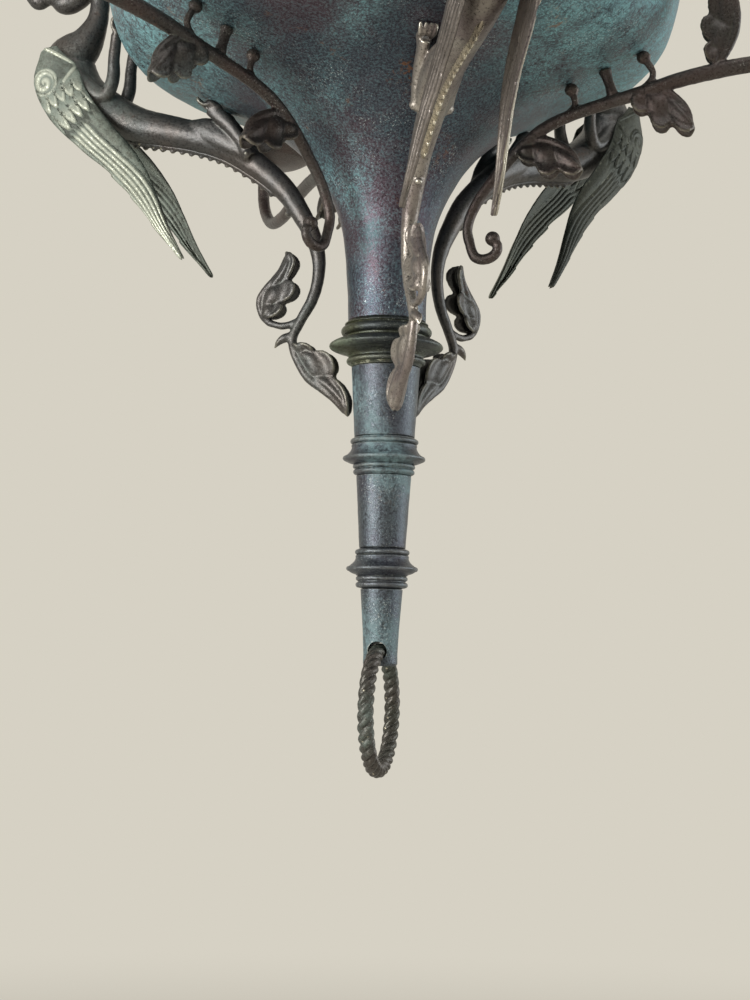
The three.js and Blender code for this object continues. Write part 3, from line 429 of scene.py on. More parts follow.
@lru_cache(maxsize=None)
def heading(points, share):
    """The direction of the curve there."""
    ahead, behind = min(share + HEADING_STEP, 1.0), max(share - HEADING_STEP, 0.0)
    return (run(points, ahead) - run(points, behind)).normalized()


def line(*places):
    """Points drawn in millimetres as (radius, height) or (radius, height, side), ready for a curve."""
    return tuple(tuple(at(*place)) for place in places)


# %% [markdown]
# ## Bent grids
# Every free form here starts as Blender's flat grid. Each grid point knows how far along and how far across
# it is, and a short function says where it goes: round a limb, over a feather or across a leaf. The edges
# that meet are merged, and open ends are filled, so each form is closed.


# %% Grid forms
def bent_grid(bm, along, around, shape):
    """Bends a grid so that shape(u, v) gives each point, closes it round v and fills its ends."""
    drawn = bm.verts.layers.float_vector.get("drawn")
    made = bmesh.ops.create_grid(bm, x_segments=along, y_segments=around, size=0.5)["verts"]
    for vert in made:
        u, v = round(vert.co.x + 0.5, 6), round(vert.co.y + 0.5, 6)
        if drawn is not None:
            vert[drawn] = (u, v, 0)
        vert.co = shape(u, v)
    bmesh.ops.remove_doubles(bm, verts=made, dist=1e-6)
    kept = [v for v in made if v.is_valid]
    rims = {e for v in kept for e in v.link_edges if e.is_boundary}
    if rims:
        bmesh.ops.holes_fill(bm, edges=list(rims), sides=0)
    faces = list({f for v in kept for f in v.link_faces})
    bmesh.ops.recalc_face_normals(bm, faces=faces)


def limb(bm, points, widths, depths=None, along=40, around=20, across=(0, 1, 0)):
    """Round or oval sections along a curve. Widths and depths are half sizes in millimetres at each point."""
    widths = tuple(widths)
    depths = tuple(depths or widths)
    sideways = Vector(across)

    def shape(u, v):
        tangent = heading(points, u)
        side = (sideways - tangent * sideways.dot(tangent)).normalized()
        top = tangent.cross(side)
        angle = 2 * math.pi * v
        wide, deep = level(widths, u) * MM, level(depths, u) * MM
        return run(points, u) + side * (wide * math.cos(angle)) + top * (deep * math.sin(angle))

    bent_grid(bm, along, around, shape)


def shell(bm, along, across, middle, half):
    """A closed thin form: middle(u, t) is its middle surface, and half(u, t) half its thickness in metres."""
    nudge = 0.004

    def shape(u, v):
        t = 1 - abs(2 * v - 1)
        face = 1 if v <= 0.5 else -1
        here = middle(u, t)
        du = middle(min(u + nudge, 1), t) - middle(max(u - nudge, 0), t)
        dt = middle(u, min(t + nudge, 1)) - middle(u, max(t - nudge, 0))
        square = du.cross(dt)
        if square.length < 1e-12:
            return here
        return here + square.normalized() * (face * half(u, t))

    bent_grid(bm, along, 2 * across, shape)


def ball(bm, centre, radii, turn=None):
    """A ball or egg, with its three radii in millimetres."""
    stretch = Matrix.Diagonal((*(r * MM for r in radii), 1))
    place = Matrix.Translation(centre) @ (turn or Matrix.Identity(4)) @ stretch
    bmesh.ops.create_icosphere(bm, subdivisions=3, radius=1, matrix=place)


# %% [markdown]
# ## From wax to bronze
# The founder joined wax parts with soft fillets and cast them in one pour. The voxel remesh does the same:
# all the overlapping closed forms become one skin, and a little smoothing rounds the joints as a file and a
# wire brush do.


# %% Casting
def meshed(bm, name):
    """The work so far as a mesh."""
    mesh = bpy.data.meshes.new(name)
    bm.to_mesh(mesh)
    bm.free()
    return mesh


def linked(name, data):
    """A new object in the scene."""
    thing = bpy.data.objects.new(name, data)
    bpy.context.scene.collection.objects.link(thing)
    return thing


def applied(blank):
    """The mesh that the object's modifiers make. The object is used up."""
    bpy.context.view_layer.update()
    result = bpy.data.meshes.new_from_object(blank.evaluated_get(bpy.context.evaluated_depsgraph_get()))
    bpy.data.objects.remove(blank)
    return result


def cast(bm, name, grain_size, rounds):
    """One skin over everything in bm, as a new mesh. The grain size is in millimetres."""
    wax = meshed(bm, name)
    pattern = linked(name, wax)
    skin = pattern.modifiers.new("skin", "REMESH")
    skin.mode = "VOXEL"
    skin.voxel_size = grain_size * MM
    brush = pattern.modifiers.new("brush", "SMOOTH")
    brush.factor = 0.5
    brush.iterations = rounds
    poured = applied(pattern)
    bpy.data.meshes.remove(wax)
    poured.name = name
    return poured


def weather(mesh, depth, size, seed):
    """Moves each point a little along its normal, as casting and handling leave a surface."""
    offset = Vector((seed, seed * 0.7, seed * 1.3))
    normals = [vert.normal.copy() for vert in mesh.vertices]
    for vert, normal in zip(mesh.vertices, normals):
        swell = noise.fractal(vert.co / (size * MM) + offset, 0.8, 2.0, 3)
        vert.co += normal * (swell * depth * MM)
    mesh.update()


def place_piece(mesh, name, finishes, stands_for, body="chandelier"):
    """Puts a finished mesh in the scene, smooth, with its finish, body and the node that it stands for."""
    for finish in finishes:
        mesh.materials.append(finish)
    mesh.polygons.foreach_set("use_smooth", [True] * len(mesh.polygons))
    mesh.update()
    piece = linked(name, mesh)
    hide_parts(stands_for)
    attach(piece, body)


def place_copy(pattern, azimuth, name, finishes, stands_for):
    """Places a copy of a pattern that was drawn along +X, turned to its place round the vase."""
    copy = pattern.copy()
    copy.transform(station(azimuth))
    place_piece(copy, name, finishes, stands_for)


def triangles(mesh):
    return sum(len(p.vertices) - 2 for p in mesh.polygons)


# %% [markdown]
# ## Turned work
# The stem, the vase and the cups came off a lathe, so each is an outline spun about the axis. The outline
# goes up the outside and back down the bore, which makes the wall. Sharp corners get a fine bevel that
# catches the light.

# %% Lathe
CORNER, SHARP_ANGLE = 0.25, 0.6


def roll(radius, height, projection, half, steps=9):
    """A half-round moulding, from its lower edge to its upper edge."""
    angles = [math.pi * (i / steps - 0.5) for i in range(steps + 1)]
    return [(radius + projection * math.cos(a), height + half * math.sin(a)) for a in angles]


def cove(start, end, sag, steps=8):
    """A hollow between two points: sag is how far it bends towards the axis."""
    points = []
    for i in range(1, steps):
        share = i / steps
        radius = start[0] + (end[0] - start[0]) * share - sag * math.sin(math.pi * share)
        points.append((radius, start[1] + (end[1] - start[1]) * share))
    return points


def finer(outline, step):
    """The same outline with points no further apart than the step."""
    points = [outline[0]]
    for (r0, z0), (r1, z1) in zip(outline, outline[1:]):
        pieces = max(1, math.ceil(math.hypot(r1 - r0, z1 - z0) / step))
        points += [(r0 + (r1 - r0) * i / pieces, z0 + (z1 - z0) * i / pieces) for i in range(1, pieces + 1)]
    return points


def turned(outline, name, step, steps, centre=0.0):
    """Spins a closed outline of (radius, height) in millimetres, then moves it out to a radius of centre."""
    bm = bmesh.new()
    points = finer(outline, step)
    verts = [bm.verts.new(at(r, z)) for r, z in points]
    edges = [bm.edges.new(pair) for pair in zip(verts, verts[1:])]
    bmesh.ops.spin(
        bm, geom=verts + edges, axis=(0, 0, 1), cent=(0, 0, 0), angle=2 * math.pi, steps=steps, use_merge=True
    )
    bmesh.ops.remove_doubles(bm, verts=bm.verts, dist=2e-6)
    bmesh.ops.recalc_face_normals(bm, faces=bm.faces)
    sharp = [e for e in bm.edges if len(e.link_faces) == 2 and e.calc_face_angle(0) > SHARP_ANGLE]
    bmesh.ops.bevel(
        bm, geom=sharp, offset=CORNER * MM, affect="EDGES", segments=2, profile=0.5, material=-1,
        clamp_overlap=True,
    )
    bmesh.ops.translate(bm, verts=bm.verts, vec=(centre * MM, 0, 0))
    return meshed(bm, name)


def lathe_piece(name, outline, cuts, swell, finish, stands_for):
    """Turns a piece and places it. cuts are the step along and the steps round, and weather takes swell."""
    mesh = turned(outline, name, *cuts)
    weather(mesh, *swell)
    place_piece(mesh, name, [finish], stands_for)
    print(name, triangles(mesh), "triangles")


# %% [markdown]
# ## The vase
# Its outline is a slim neck that flares into a round belly. Spun metal is never quite true, so a slow swell
# of a third of a millimetre goes over it. The bowl is a shell 3.2 mm thick, open at the top where the dome
# sits.

# %% Bowl and dome outlines
VASE_RADIUS, NECK_RADIUS, CROWN_RADIUS, VASE_WALL = 150, 20, 34, 3.2
BOWL_FOOT, RIM, DOME_FOOT, DOME_RISE = 177.3, 370.3, 370.6, 130.0
LIP_DROP, LIP_GAP = 6, 0.4
ROD_BORE = 4.4
BOWL_LINE = (
    (20, 177.3), (20.8, 196), (24.4, 226), (33, 247.5), (47, 267), (70, 285), (97, 298.5),
    (126, 309), (141, 322), (148, 341), (150, 358), (150, 370.3),
)
DOME_LINE = ((150, 0), (147.75, 0.16), (135, 0.36), (105, 0.56), (66, 0.7), (41, 0.82), (34, 1))


def smooth_outline(points, count):
    """A smooth outline through (radius, height) points."""
    radii = tuple(r for r, z in points)
    heights = tuple(z for r, z in points)
    return [(level(radii, i / count), level(heights, i / count)) for i in range(count + 1)]


def inset(outline, distance):
    """The outline moved inwards along its own normal."""
    moved = []
    for i, (r, z) in enumerate(outline):
        r0, z0 = outline[max(i - 1, 0)]
        r1, z1 = outline[min(i + 1, len(outline) - 1)]
        length = math.hypot(r1 - r0, z1 - z0)
        moved.append((r - distance * (z1 - z0) / length, z + distance * (r1 - r0) / length))
    return moved


bowl_outside = smooth_outline(BOWL_LINE, 150)
dome_outside = smooth_outline([(r, DOME_FOOT + h * DOME_RISE) for r, h in DOME_LINE], 110)


def bowl_at(radius):
    """The bowl's outside there: its height, and the direction that leaves it squarely, outwards and down."""
    for (r0, z0), (r1, z1) in zip(bowl_outside, bowl_outside[1:]):
        if r0 <= radius < r1:
            length = math.hypot(r1 - r0, z1 - z0)
            height = z0 + (z1 - z0) * (radius - r0) / (r1 - r0)
            return height, Vector(((z1 - z0) / length, 0, -(r1 - r0) / length))
    raise ValueError(f"the bowl has no radius {radius}")


# %% Bowl and dome
bowl_loop = [
    *bowl_outside, (VASE_RADIUS - VASE_WALL, RIM), *inset(bowl_outside, VASE_WALL)[-2:0:-1],
    (NECK_RADIUS - VASE_WALL, BOWL_FOOT), bowl_outside[0],
]
lathe_piece("vase_bowl", bowl_loop, (3.0, 216), (0.32, 26, 3), vase_finish, "lower_bowl")

lip_out = VASE_RADIUS - VASE_WALL - LIP_GAP
lip_in = lip_out - VASE_WALL
dome_top = DOME_FOOT + DOME_RISE
ceiling = dome_top - VASE_WALL
dome_loop = [
    *dome_outside, (ROD_BORE, dome_top), (ROD_BORE, ceiling), (CROWN_RADIUS - VASE_WALL, ceiling),
    *inset(dome_outside, VASE_WALL)[-3:0:-1], (lip_in, DOME_FOOT), (lip_in, RIM - LIP_DROP),
    (lip_out, RIM - LIP_DROP), (lip_out, DOME_FOOT), dome_outside[0],
]
lathe_piece("vase_dome", dome_loop, (3.6, 192), (0.3, 28, 9), vase_finish, "upper_dome")

# %% [markdown]
# ## Stem, knops and collar
# Six turned pieces hang on the tie rod. Each joint has a spigot that keeps it centred, and every knop is a
# pile of small mouldings: a bead, a hollow, the big ring, steps back in, and another bead.

# %% Stem outlines
def stack(name, outside, bore, finish, stands_for, seed):
    """A turned piece of the stem: its outside from below upwards, closed down its bore."""
    low, high = outside[0][1], outside[-1][1]
    loop = [*outside, (bore, high), (bore, low), outside[0]]
    lathe_piece(name, loop, (1.1, 120), (0.09, 5, seed), finish, stands_for)


def low_knop_outline(z, h, r):
    foot, neck = (r - 4.9, z + 7.2), (r - 4.9, z + 15.6)
    return [
        (10.3, z), (10.9, z + 0.25), *roll(r - 6.3, z + 1.9, 1.3, 1.4, 8), (r - 6.2, z + 3.6),
        *roll(r - 6.2, z + 5.1, 1.1, 1.2, 7), (r - 5.4, z + 6.6), foot,
        *cove(foot, (r - 1.4, z + 8.8), -0.5, 5), *roll(r - 1.3, z + 10.1, 1.3, 1.2, 8),
        *cove((r - 1.4, z + 11.4), neck, 0.7, 8), neck, (r - 4.7, z + 16.1), (r - 4.8, z + 16.8),
        (r - 5.2, z + 17), *roll(r - 5.9, z + 18.6, 1.5, 1.4, 8), (12.3, z + 20.1), (11.9, z + h),
        (9.6, z + h), (9.6, z + h + 3),
    ]


def middle_knop_outline(z, h, r):
    foot, neck = (r - 4.8, z + 6.1), (r - 4.6, z + 14.2)
    return [
        (9.6, z - 3), (9.6, z), (14.1, z), (14.3, z + 0.25), *roll(r - 6.8, z + 1.7, 1.3, 1.3, 8),
        (r - 6.4, z + 3.2), *roll(r - 6.4, z + 4.5, 1.2, 1.1, 7), (r - 5.4, z + 5.7), foot,
        *cove(foot, (r - 1.5, z + 7.4), -0.5, 5), *roll(r - 1.4, z + 8.6, 1.4, 1.2, 8),
        *cove((r - 1.5, z + 9.8), neck, 0.6, 8), neck, (r - 4.4, z + 14.8), (r - 4.4, z + 15.5),
        (r - 5.1, z + 15.7), *roll(r - 5.4, z + 17.4, 1.7, 1.4, 8), (15.9, z + 19), (15.5, z + h),
        (13.2, z + h), (13.2, z + h + 3),
    ]


def collar_outline(z, h, r):
    big_ring = smooth_outline([
        (r - 8, z + 14.6), (r - 4.6, z + 13.9), (r - 1.4, z + 12.4), (r, z + 10.9), (r - 0.6, z + 9.6),
        (r - 3, z + 8.5), (r - 5, z + 8.1),
    ], 22)
    return [
        (13.2, z - 3), (13.2, z), (17.7, z), (17.9, z + 0.6), (18.6, z + 1.2),
        *roll(r - 10.9, z + 2.9, 1.9, 1.5, 8), (r - 10.2, z + 4.6),
        *cove((r - 10.2, z + 4.6), (r - 5.2, z + 7.9), 1.5, 9), *reversed(big_ring), (r - 8.6, z + 15),
        (r - 8.6, z + 15.8), *roll(r - 8.2, z + 18.4, 2.2, 2.3, 12), (r - 8.4, z + 20.9),
        (r - 8.5, z + 21.4), *roll(r - 8.7, z + 22.1, 0.9, 0.55, 6), (20.6, z + 22.8), (20.1, z + h),
        (16.4, z + h), (16.4, z + h + 3),
    ]


def stem_outline(z, length, radius):
    taper = 1.1
    return smooth_outline([(radius - taper, z), (radius, z + length / 2), (radius + taper, z + length)], 24)


# %% Stem pieces
for name, outside, bore, seed in (
    ("low_knop", low_knop_outline(39.3, 20.5, 18.4), ROD_BORE, 11),
    ("low_stem", stem_outline(60.1, 37, 13), 10, 12),
    ("middle_knop", middle_knop_outline(97.4, 19.5, 21.3), ROD_BORE, 13),
    ("high_stem", stem_outline(117.2, 36, 16.6), 13.6, 14),
):
    stack(f"turned_{name}", outside, bore, stem_finish, name, seed)
collar = collar_outline(153.5, 23.5, 29.5)
stack("turned_collar", collar, ROD_BORE, collar_finish, "neck_collar", 15)

# %% [markdown]
# ## The tip and its cross hole
# The tip is turned and then drilled across for the pull ring. A boolean cut makes the hole, and the bevel
# round its mouth shows the wear of a ring that has swung there for a century.

# %% Stem tip
PULL_HOLE_Z = 7.4
PULL_RING_RADIUS, PULL_ROPE_RADIUS = 30.5, 4.3
TIP_RADIUS, TIP_LENGTH, ROD_SEAT = 8.7, 39.0, 24
ROPE_DIP = TIP_RADIUS**2 / (2 * PULL_RING_RADIUS)
PULL_HOLE_RADIUS = PULL_ROPE_RADIUS + ROPE_DIP / 2 + 0.08
PULL_TURN = math.radians(-28 - 90)
MOUTH_WEAR, MOUTH_ANGLE = 0.3, math.radians(50)


def drill_mesh():
    """A rod as thick as the cross hole, lying through the tip."""
    bm = bmesh.new()
    place = Matrix.Rotation(PULL_TURN, 4, "Z") @ Matrix.Translation(at(0, PULL_HOLE_Z))
    size = PULL_HOLE_RADIUS * MM
    bmesh.ops.create_cone(
        bm, cap_ends=True, segments=64, radius1=size, radius2=size, depth=4 * TIP_RADIUS * MM,
        matrix=place @ Matrix.Rotation(math.pi / 2, 4, "Y"),
    )
    return meshed(bm, "drill")


def tip_mesh():
    """The turned tip with its cross hole, mouth bevelled."""
    outline = [
        (0, 0), (TIP_RADIUS - 0.8, 0), (TIP_RADIUS + 0.1, 1.2), (TIP_RADIUS, 6),
        (TIP_RADIUS + 0.6, TIP_LENGTH * 0.48), (TIP_RADIUS + 2.1, TIP_LENGTH), (ROD_BORE, TIP_LENGTH),
        (ROD_BORE, ROD_SEAT), (0, ROD_SEAT),
    ]
    blank = linked("tip_blank", turned(outline, "turned_tip", 1.0, 96))
    drill = linked("drill", drill_mesh())
    cut = blank.modifiers.new("hole", "BOOLEAN")
    cut.operation, cut.object, cut.solver = "DIFFERENCE", drill, "EXACT"
    worn = blank.modifiers.new("worn", "BEVEL")
    worn.width, worn.segments = MOUTH_WEAR * MM, 3
    worn.limit_method, worn.angle_limit = "ANGLE", MOUTH_ANGLE
    drilled = applied(blank)
    bpy.data.objects.remove(drill)
    return drilled


tip = tip_mesh()
place_piece(tip, "turned_tip", [stem_finish], "stem_tip")
print("tip", triangles(tip), "triangles")

# %% [markdown]
# ## The rope ring
# Three strands lie round each other in a closed ring, which was cast, not laid. Each strand is a thin limb
# whose centre winds round the ring's own circle, so the grooves between strands are real geometry.

# %% Pull ring
STRANDS, ROPE_TURNS = 3, 11
STRAND_RADIUS, STRAND_LAY = 2.05, 2.15
LAY_INSET = 0.6


def rope_strand(bm, first):
    """One strand, wound round the ring's circle in its upright plane."""

    def centre(u):
        turn, lay = 2 * math.pi * u, -2 * math.pi * (ROPE_TURNS * u + first / STRANDS)
        radial = PULL_RING_RADIUS - LAY_INSET + STRAND_LAY * math.cos(lay)
        return Vector((radial * math.sin(turn), STRAND_LAY * math.sin(lay), radial * math.cos(turn))) * MM

    def shape(u, v):
        tangent = (centre(u + 0.0005) - centre(u - 0.0005)).normalized()
        side = tangent.cross(centre(u)).normalized()
        top = tangent.cross(side)
        angle = 2 * math.pi * v
        return centre(u) + (side * math.cos(angle) + top * math.sin(angle)) * (STRAND_RADIUS * MM)

    made = bmesh.ops.create_grid(bm, x_segments=480, y_segments=16, size=0.5)["verts"]
    for vert in made:
        vert.co = shape(vert.co.x + 0.5, vert.co.y + 0.5)
    bmesh.ops.remove_doubles(bm, verts=made, dist=2e-5)


def rope_mesh():
    bm = bmesh.new()
    for first in range(STRANDS):
        rope_strand(bm, first)
    bmesh.ops.recalc_face_normals(bm, faces=bm.faces)
    middle = at(0, PULL_HOLE_Z + ROPE_DIP / 2 - PULL_RING_RADIUS)
    place = Matrix.Translation(middle) @ Matrix.Rotation(PULL_TURN, 4, "Z")
    bmesh.ops.transform(bm, verts=bm.verts, matrix=place)
    mesh = cast(bm, "rope_ring", 0.4, 1)
    weather(mesh, 0.1, 3, 21)
    return mesh


rope = rope_mesh()
place_piece(rope, "rope_ring", [ring_finish], "pull_ring", body="pull_ring")
print("rope ring", triangles(rope), "triangles")

# %% [markdown]
# ## Folded leaves
# Tail and branch carry the same kind of leaf. A raised rib runs along its outside, and two halves stand up
# from it in a V. Each half has three cupped lobes, and the creases between them run back towards the foot
# of the leaf. A lobe is one thin shell between a stretch of the rib and its own rounded edge.

# %% Leaves
LEAF_OPENING, LEAF_THICKNESS = 4.6, 1.0
LOBE_RISE = (0.0, 0.2, 0.6, 0.66, 0.52, 0.5, 0.72, 1.0)


def leaf(bm, rib, lobes, shares, rib_width=2.2):
    """The rib and each lobe's edge are drawn upright. shares are where the lobes' creases meet the rib."""
    rib_line = line(*rib)

    def half(u, t):
        return LEAF_THICKNESS * MM * math.sqrt(max(0.0, 1 - (2 * t - 1) ** 8)) * (0.75 + 0.5 * t**4)

    def lobe(hand, edge_line, start, end):
        def middle(u, t):
            foot = run(rib_line, round(start + (end - start) * u, 5))
            tip = run(edge_line, round(u, 5))
            dome = math.sin(math.pi * u) ** 0.55
            rise = level(LOBE_RISE, round(t, 5)) * LEAF_OPENING
            place = foot.lerp(tip, t)
            place.y = hand * (0.5 + rise * (0.1 + 0.9 * dome)) * MM
            return place

        shell(bm, 28, 20, middle, half)

    for hand in (-1, 1):
        for edge, start, end in zip(lobes, shares, shares[1:]):
            lobe(hand, line(*edge), start, end)
    taper = [rib_width * (0.8 + 0.25 * math.sin(math.pi * i / 7)) for i in range(7)] + [0.5]
    widths = [taper[min(7, round(i * 7 / (len(rib) - 1)))] for i in range(len(rib))]
    limb(bm, rib_line, widths, along=48, around=12)


# %% [markdown]
# ## A dragon's body
# One curve runs from the back of the head down the breast, under the bowl and down beside the stem, where
# it ends in two leaves. The body is thickest at the shoulders and narrows to a rod. A row of small rounded
# teeth follows the underside on a low keel, which is rubbed bright on the front dragon and carries a painted
# highlight there too.

# %% Trunk
# Radius, height, half-depth and half-width
TRUNK = (
    (170, 379, 6.4, 6.4), (167.5, 365, 5.4, 5.4), (168.5, 352, 5.8, 5.8), (174, 340.5, 9, 9),
    (184.5, 328, 14.6, 12.2), (177, 311, 13.8, 13), (160, 299, 11.6, 11.6), (142, 290.5, 9.9, 9.4),
    (126, 286.5, 9, 8.8), (108, 282, 8.3, 8.2), (90, 275.5, 8, 7.6), (73.5, 264.5, 6.9, 6.7),
    (57.5, 250.5, 6, 5.6), (48, 237, 5.2, 4.9), (40.5, 223, 4.4, 4.2), (37.5, 211, 3.6, 3.5),
    (38, 200, 3.2, 3.2), (41, 190, 3, 3), (47, 179.5, 2.7, 2.7), (51, 170.5, 2.5, 2.5), (49.5, 162, 2.2, 2.2),
    (45, 155, 1.6, 1.6),
)
trunk_line = line(*((r, z) for r, z, _, _ in TRUNK))
trunk_depth = tuple(deep for _, _, deep, _ in TRUNK)
trunk_width = tuple(wide for _, _, _, wide in TRUNK)
TRUNK_STEPS, BELOW_BOWL = 800, range(230, 620)


def on_trunk(share, angle, lift=0.0):
    """A point on the body's skin: 90 degrees is its outer side, and lift is how far it stands off."""
    side = Vector((0, 1, 0))
    top = heading(trunk_line, share).cross(side)
    wide = level(trunk_width, share) + lift
    deep = level(trunk_depth, share) + lift
    turn = math.radians(angle)
    return run(trunk_line, share) + (side * (wide * math.cos(turn)) + top * (deep * math.sin(turn))) * MM


def trunk_share(radius):
    """Where the part of the body below the bowl is that far from the axis."""
    gaps = [(abs(run(trunk_line, i / TRUNK_STEPS).x / MM - radius), i) for i in BELOW_BOWL]
    return min(gaps)[1] / TRUNK_STEPS


def crest(bm, first, last, count):
    """Small rounded teeth along the outer side."""
    side = Vector((0, 1, 0))
    for i in range(count):
        share = first + (last - first) * i / (count - 1)
        size = 1.0 - 0.3 * i / count
        tangent = heading(trunk_line, share)
        turn = Matrix((tangent, side, tangent.cross(side))).transposed().to_4x4()
        ball(bm, on_trunk(share, 90, 0.6), (2.1 * size, 1.1 * size, 2.4 * size), turn)


def keel(bm, first, last):
    """The low rounded ridge that the teeth stand on."""
    points = tuple(tuple(on_trunk(first + (last - first) * i / 24, 90, -0.75)) for i in range(25))
    limb(bm, points, [0.5] + [2.0] * 23 + [0.4], along=140, around=12)


# %% [markdown]
# ## Legs and paws
# The hind legs lie along the body to a rounded knee with a small boss, and reach back up to the bowl. The
# forelegs hold its wall. A paw is a palm with four long toes side by side, each ending in a claw that
# touches the bowl.


# %% Legs
TOE_GAP, TOE_SPREAD = 2.6, 0.4
HIND_PAW, FORE_PAW = (95, 10), (149.5, 339, 12)


def sided(hand, places):
    """A line of (radius, height, side), mirrored to the right where hand is -1."""
    return line(*((r, z, hand * side) for r, z, side in places))


def paw(bm, sole, forward, outward, size):
    """A palm and four toes: forward is where the toes point, outward leaves the bowl."""
    sideways = forward.cross(outward)
    turn = Matrix((sideways, forward, outward)).transposed().to_4x4()
    ball(bm, sole + outward * (1.7 * size * MM), (4.9 * size, 5 * size, 2.9 * size), turn)
    heel = sole + (outward * 2.6 - forward * 3.4) * (size * MM)
    ball(bm, heel, (3.8 * size, 4 * size, 3.2 * size), turn)
    for i in range(4):
        off, fan = (i - 1.5) * TOE_GAP, (i - 1.5) * TOE_SPREAD
        steps = ((off * 0.9, 0.5, 2.4), (off, 4.2, 3.9), (off + fan, 7.6, 3), (off + fan * 1.4, 9.6, 0.9))
        points = tuple(
            tuple(sole + (sideways * s + forward * f + outward * o) * (size * MM)) for s, f, o in steps
        )
        limb(bm, points, [1.5 * size, 1.45 * size, 1.4 * size, 0.8 * size], along=16, around=10)


def hind_leg(bm, hand):
    radius, off = HIND_PAW
    height, normal = bowl_at(radius)
    sole = at(radius, height, hand * off) + normal * (0.4 * MM)
    forward = Vector((-normal.z, 0, normal.x))
    thigh = sided(hand, ((110, 286, 4.4), (100, 283.5, 5.2), (87, 276.5, 6), (74, 267.5, 6.4)))
    limb(bm, thigh, [3, 4, 3.8, 2.6], [4.6, 7, 6, 3.6], along=32, around=24)
    shank = (*sided(hand, ((75, 267, 7.4), (80, 276, 8.8), (87, 285, 9.8))), tuple(sole + normal * 0.003))
    limb(bm, shank, [3.4, 3.4, 3.5, 4.4], [2.9, 2.5, 2.4, 3], along=24, across=(0.8, 0, 0.6))
    ball(bm, at(76, 268.6, hand * 9.2), (2.7, 1.5, 2.7))
    ball(bm, at(76, 268.6, hand * 10.6), (1.2, 0.8, 1.2))
    paw(bm, sole, forward, normal, 0.86)


def fore_leg(bm, hand):
    radius, height, off = FORE_PAW
    reach = sided(hand, ((181, 321, 6), (168, 309, 9.5), (158, 305, 10.6), (153.5, 313, 11),
                         (152.8, 326, 11.6), (151.6, 338, 12)))
    limb(bm, reach, [7, 5.4, 4, 3.7, 3.2, 3], along=40, across=(0.7, 0, 0.7))
    paw(bm, at(radius, height, hand * off), Vector((0, 0, 1)), Vector((1, 0, 0)), 0.85)


# %% [markdown]
# ## The head
# The photograph shows only the underside of the jaw, in two rounded swellings. The rest is a generic Gothic
# dragon: a long snout with raised nostrils, heavy brows over round eyes, horns swept back, leaf-shaped
# ears, and an open mouth with teeth and a tongue.


# %% Head
# Each row is a limb's line, its half-widths and half-depths, and its steps along and around
HEAD_MIDDLE = (
    (((166, 376), (172, 384), (183, 388), (194, 385), (204, 381), (213, 377.5)),
     (6.4, 8.6, 8.9, 6.6, 5.2, 3.4), (6, 7.4, 7.6, 5.4, 4.4, 2.9), 48, 28),
    (((172, 375), (180, 366.5), (188.5, 363), (197, 366.3), (205, 365.6), (211.5, 368)),
     (6, 6.4, 6.3, 3.9, 4.7, 2), (6, 6.8, 6.3, 3.4, 4.8, 1.8), 44, 24),
    (((188, 371), (197, 372.6), (205, 371.6), (210.5, 373.5)), (3, 2.6, 2, 0.6), (1.4, 1.2, 1, 0.4), 24, 12),
)
TOOTH = (1.2, 0.9, 0.25)
HEAD_SIDES = (
    (((177, 392, 3.4), (186, 393.6, 6.2), (195, 389, 5.6), (199, 386, 4.2)),
     (1.4, 2.1, 1.6, 0.6), None, 24, 12),
    (((178, 378, 7.4), (190, 378, 6.2), (202, 375.6, 5), (212, 374.6, 2.6)),
     (1, 1.3, 1.2, 0.7), None, 28, 10),
    (((176, 391, 4.5), (170, 397.5, 6.6), (163, 402, 7.8), (154.5, 403, 8)),
     (3, 2.4, 1.7, 0.5), None, 28, 12),
    (((172, 386, 7), (165, 389.5, 10.5), (158, 390, 12.6), (152.5, 387.5, 13.4)),
     (2.2, 4, 2.8, 0.4), (1.3, 1.3, 1, 0.4), 24, 12),
    (((176, 374, 6.4), (170, 368, 8.4), (166.5, 361, 8.6)), (2.4, 2.2, 0.5), (1.2, 1.2, 0.5), 20, 10),
    (((206.5, 368, 2.6), (207.4, 371, 2.8), (208.6, 374, 2.9)), TOOTH, None, 8, 8),
)
EYE = ((189, 389, 6.6), (2.6, 1.9, 2.4))
PUPIL = ((190, 389.2, 8.2), (1.1, 0.7, 1.1))
NOSTRIL = ((210.5, 380.4, 2.7), (2.3, 1.6, 1.8))


def head(bm):
    for places, *section in HEAD_MIDDLE:
        limb(bm, line(*places), *section)
    for hand in (-1, 1):
        for places, *section in HEAD_SIDES:
            limb(bm, sided(hand, places), *section)
        for (radius, height, side), radii in (EYE, PUPIL, NOSTRIL):
            ball(bm, at(radius, height, hand * side), radii)
        for i in range(5):
            root, out = 196 + 3.6 * i, 4.6 - 0.45 * i
            tooth = sided(hand, ((root, 376.5, out), (root + 0.4, 374, out), (root + 0.8, 371.6, out)))
            limb(bm, tooth, TOOTH, along=8, around=8)


# %% [markdown]
# ## The tail
# Below the bowl the tail swings in beside the neck and out again under it. There it throws off a leaf that
# curls up and outwards, a pointed spur, and a second leaf that hangs down to the stem.

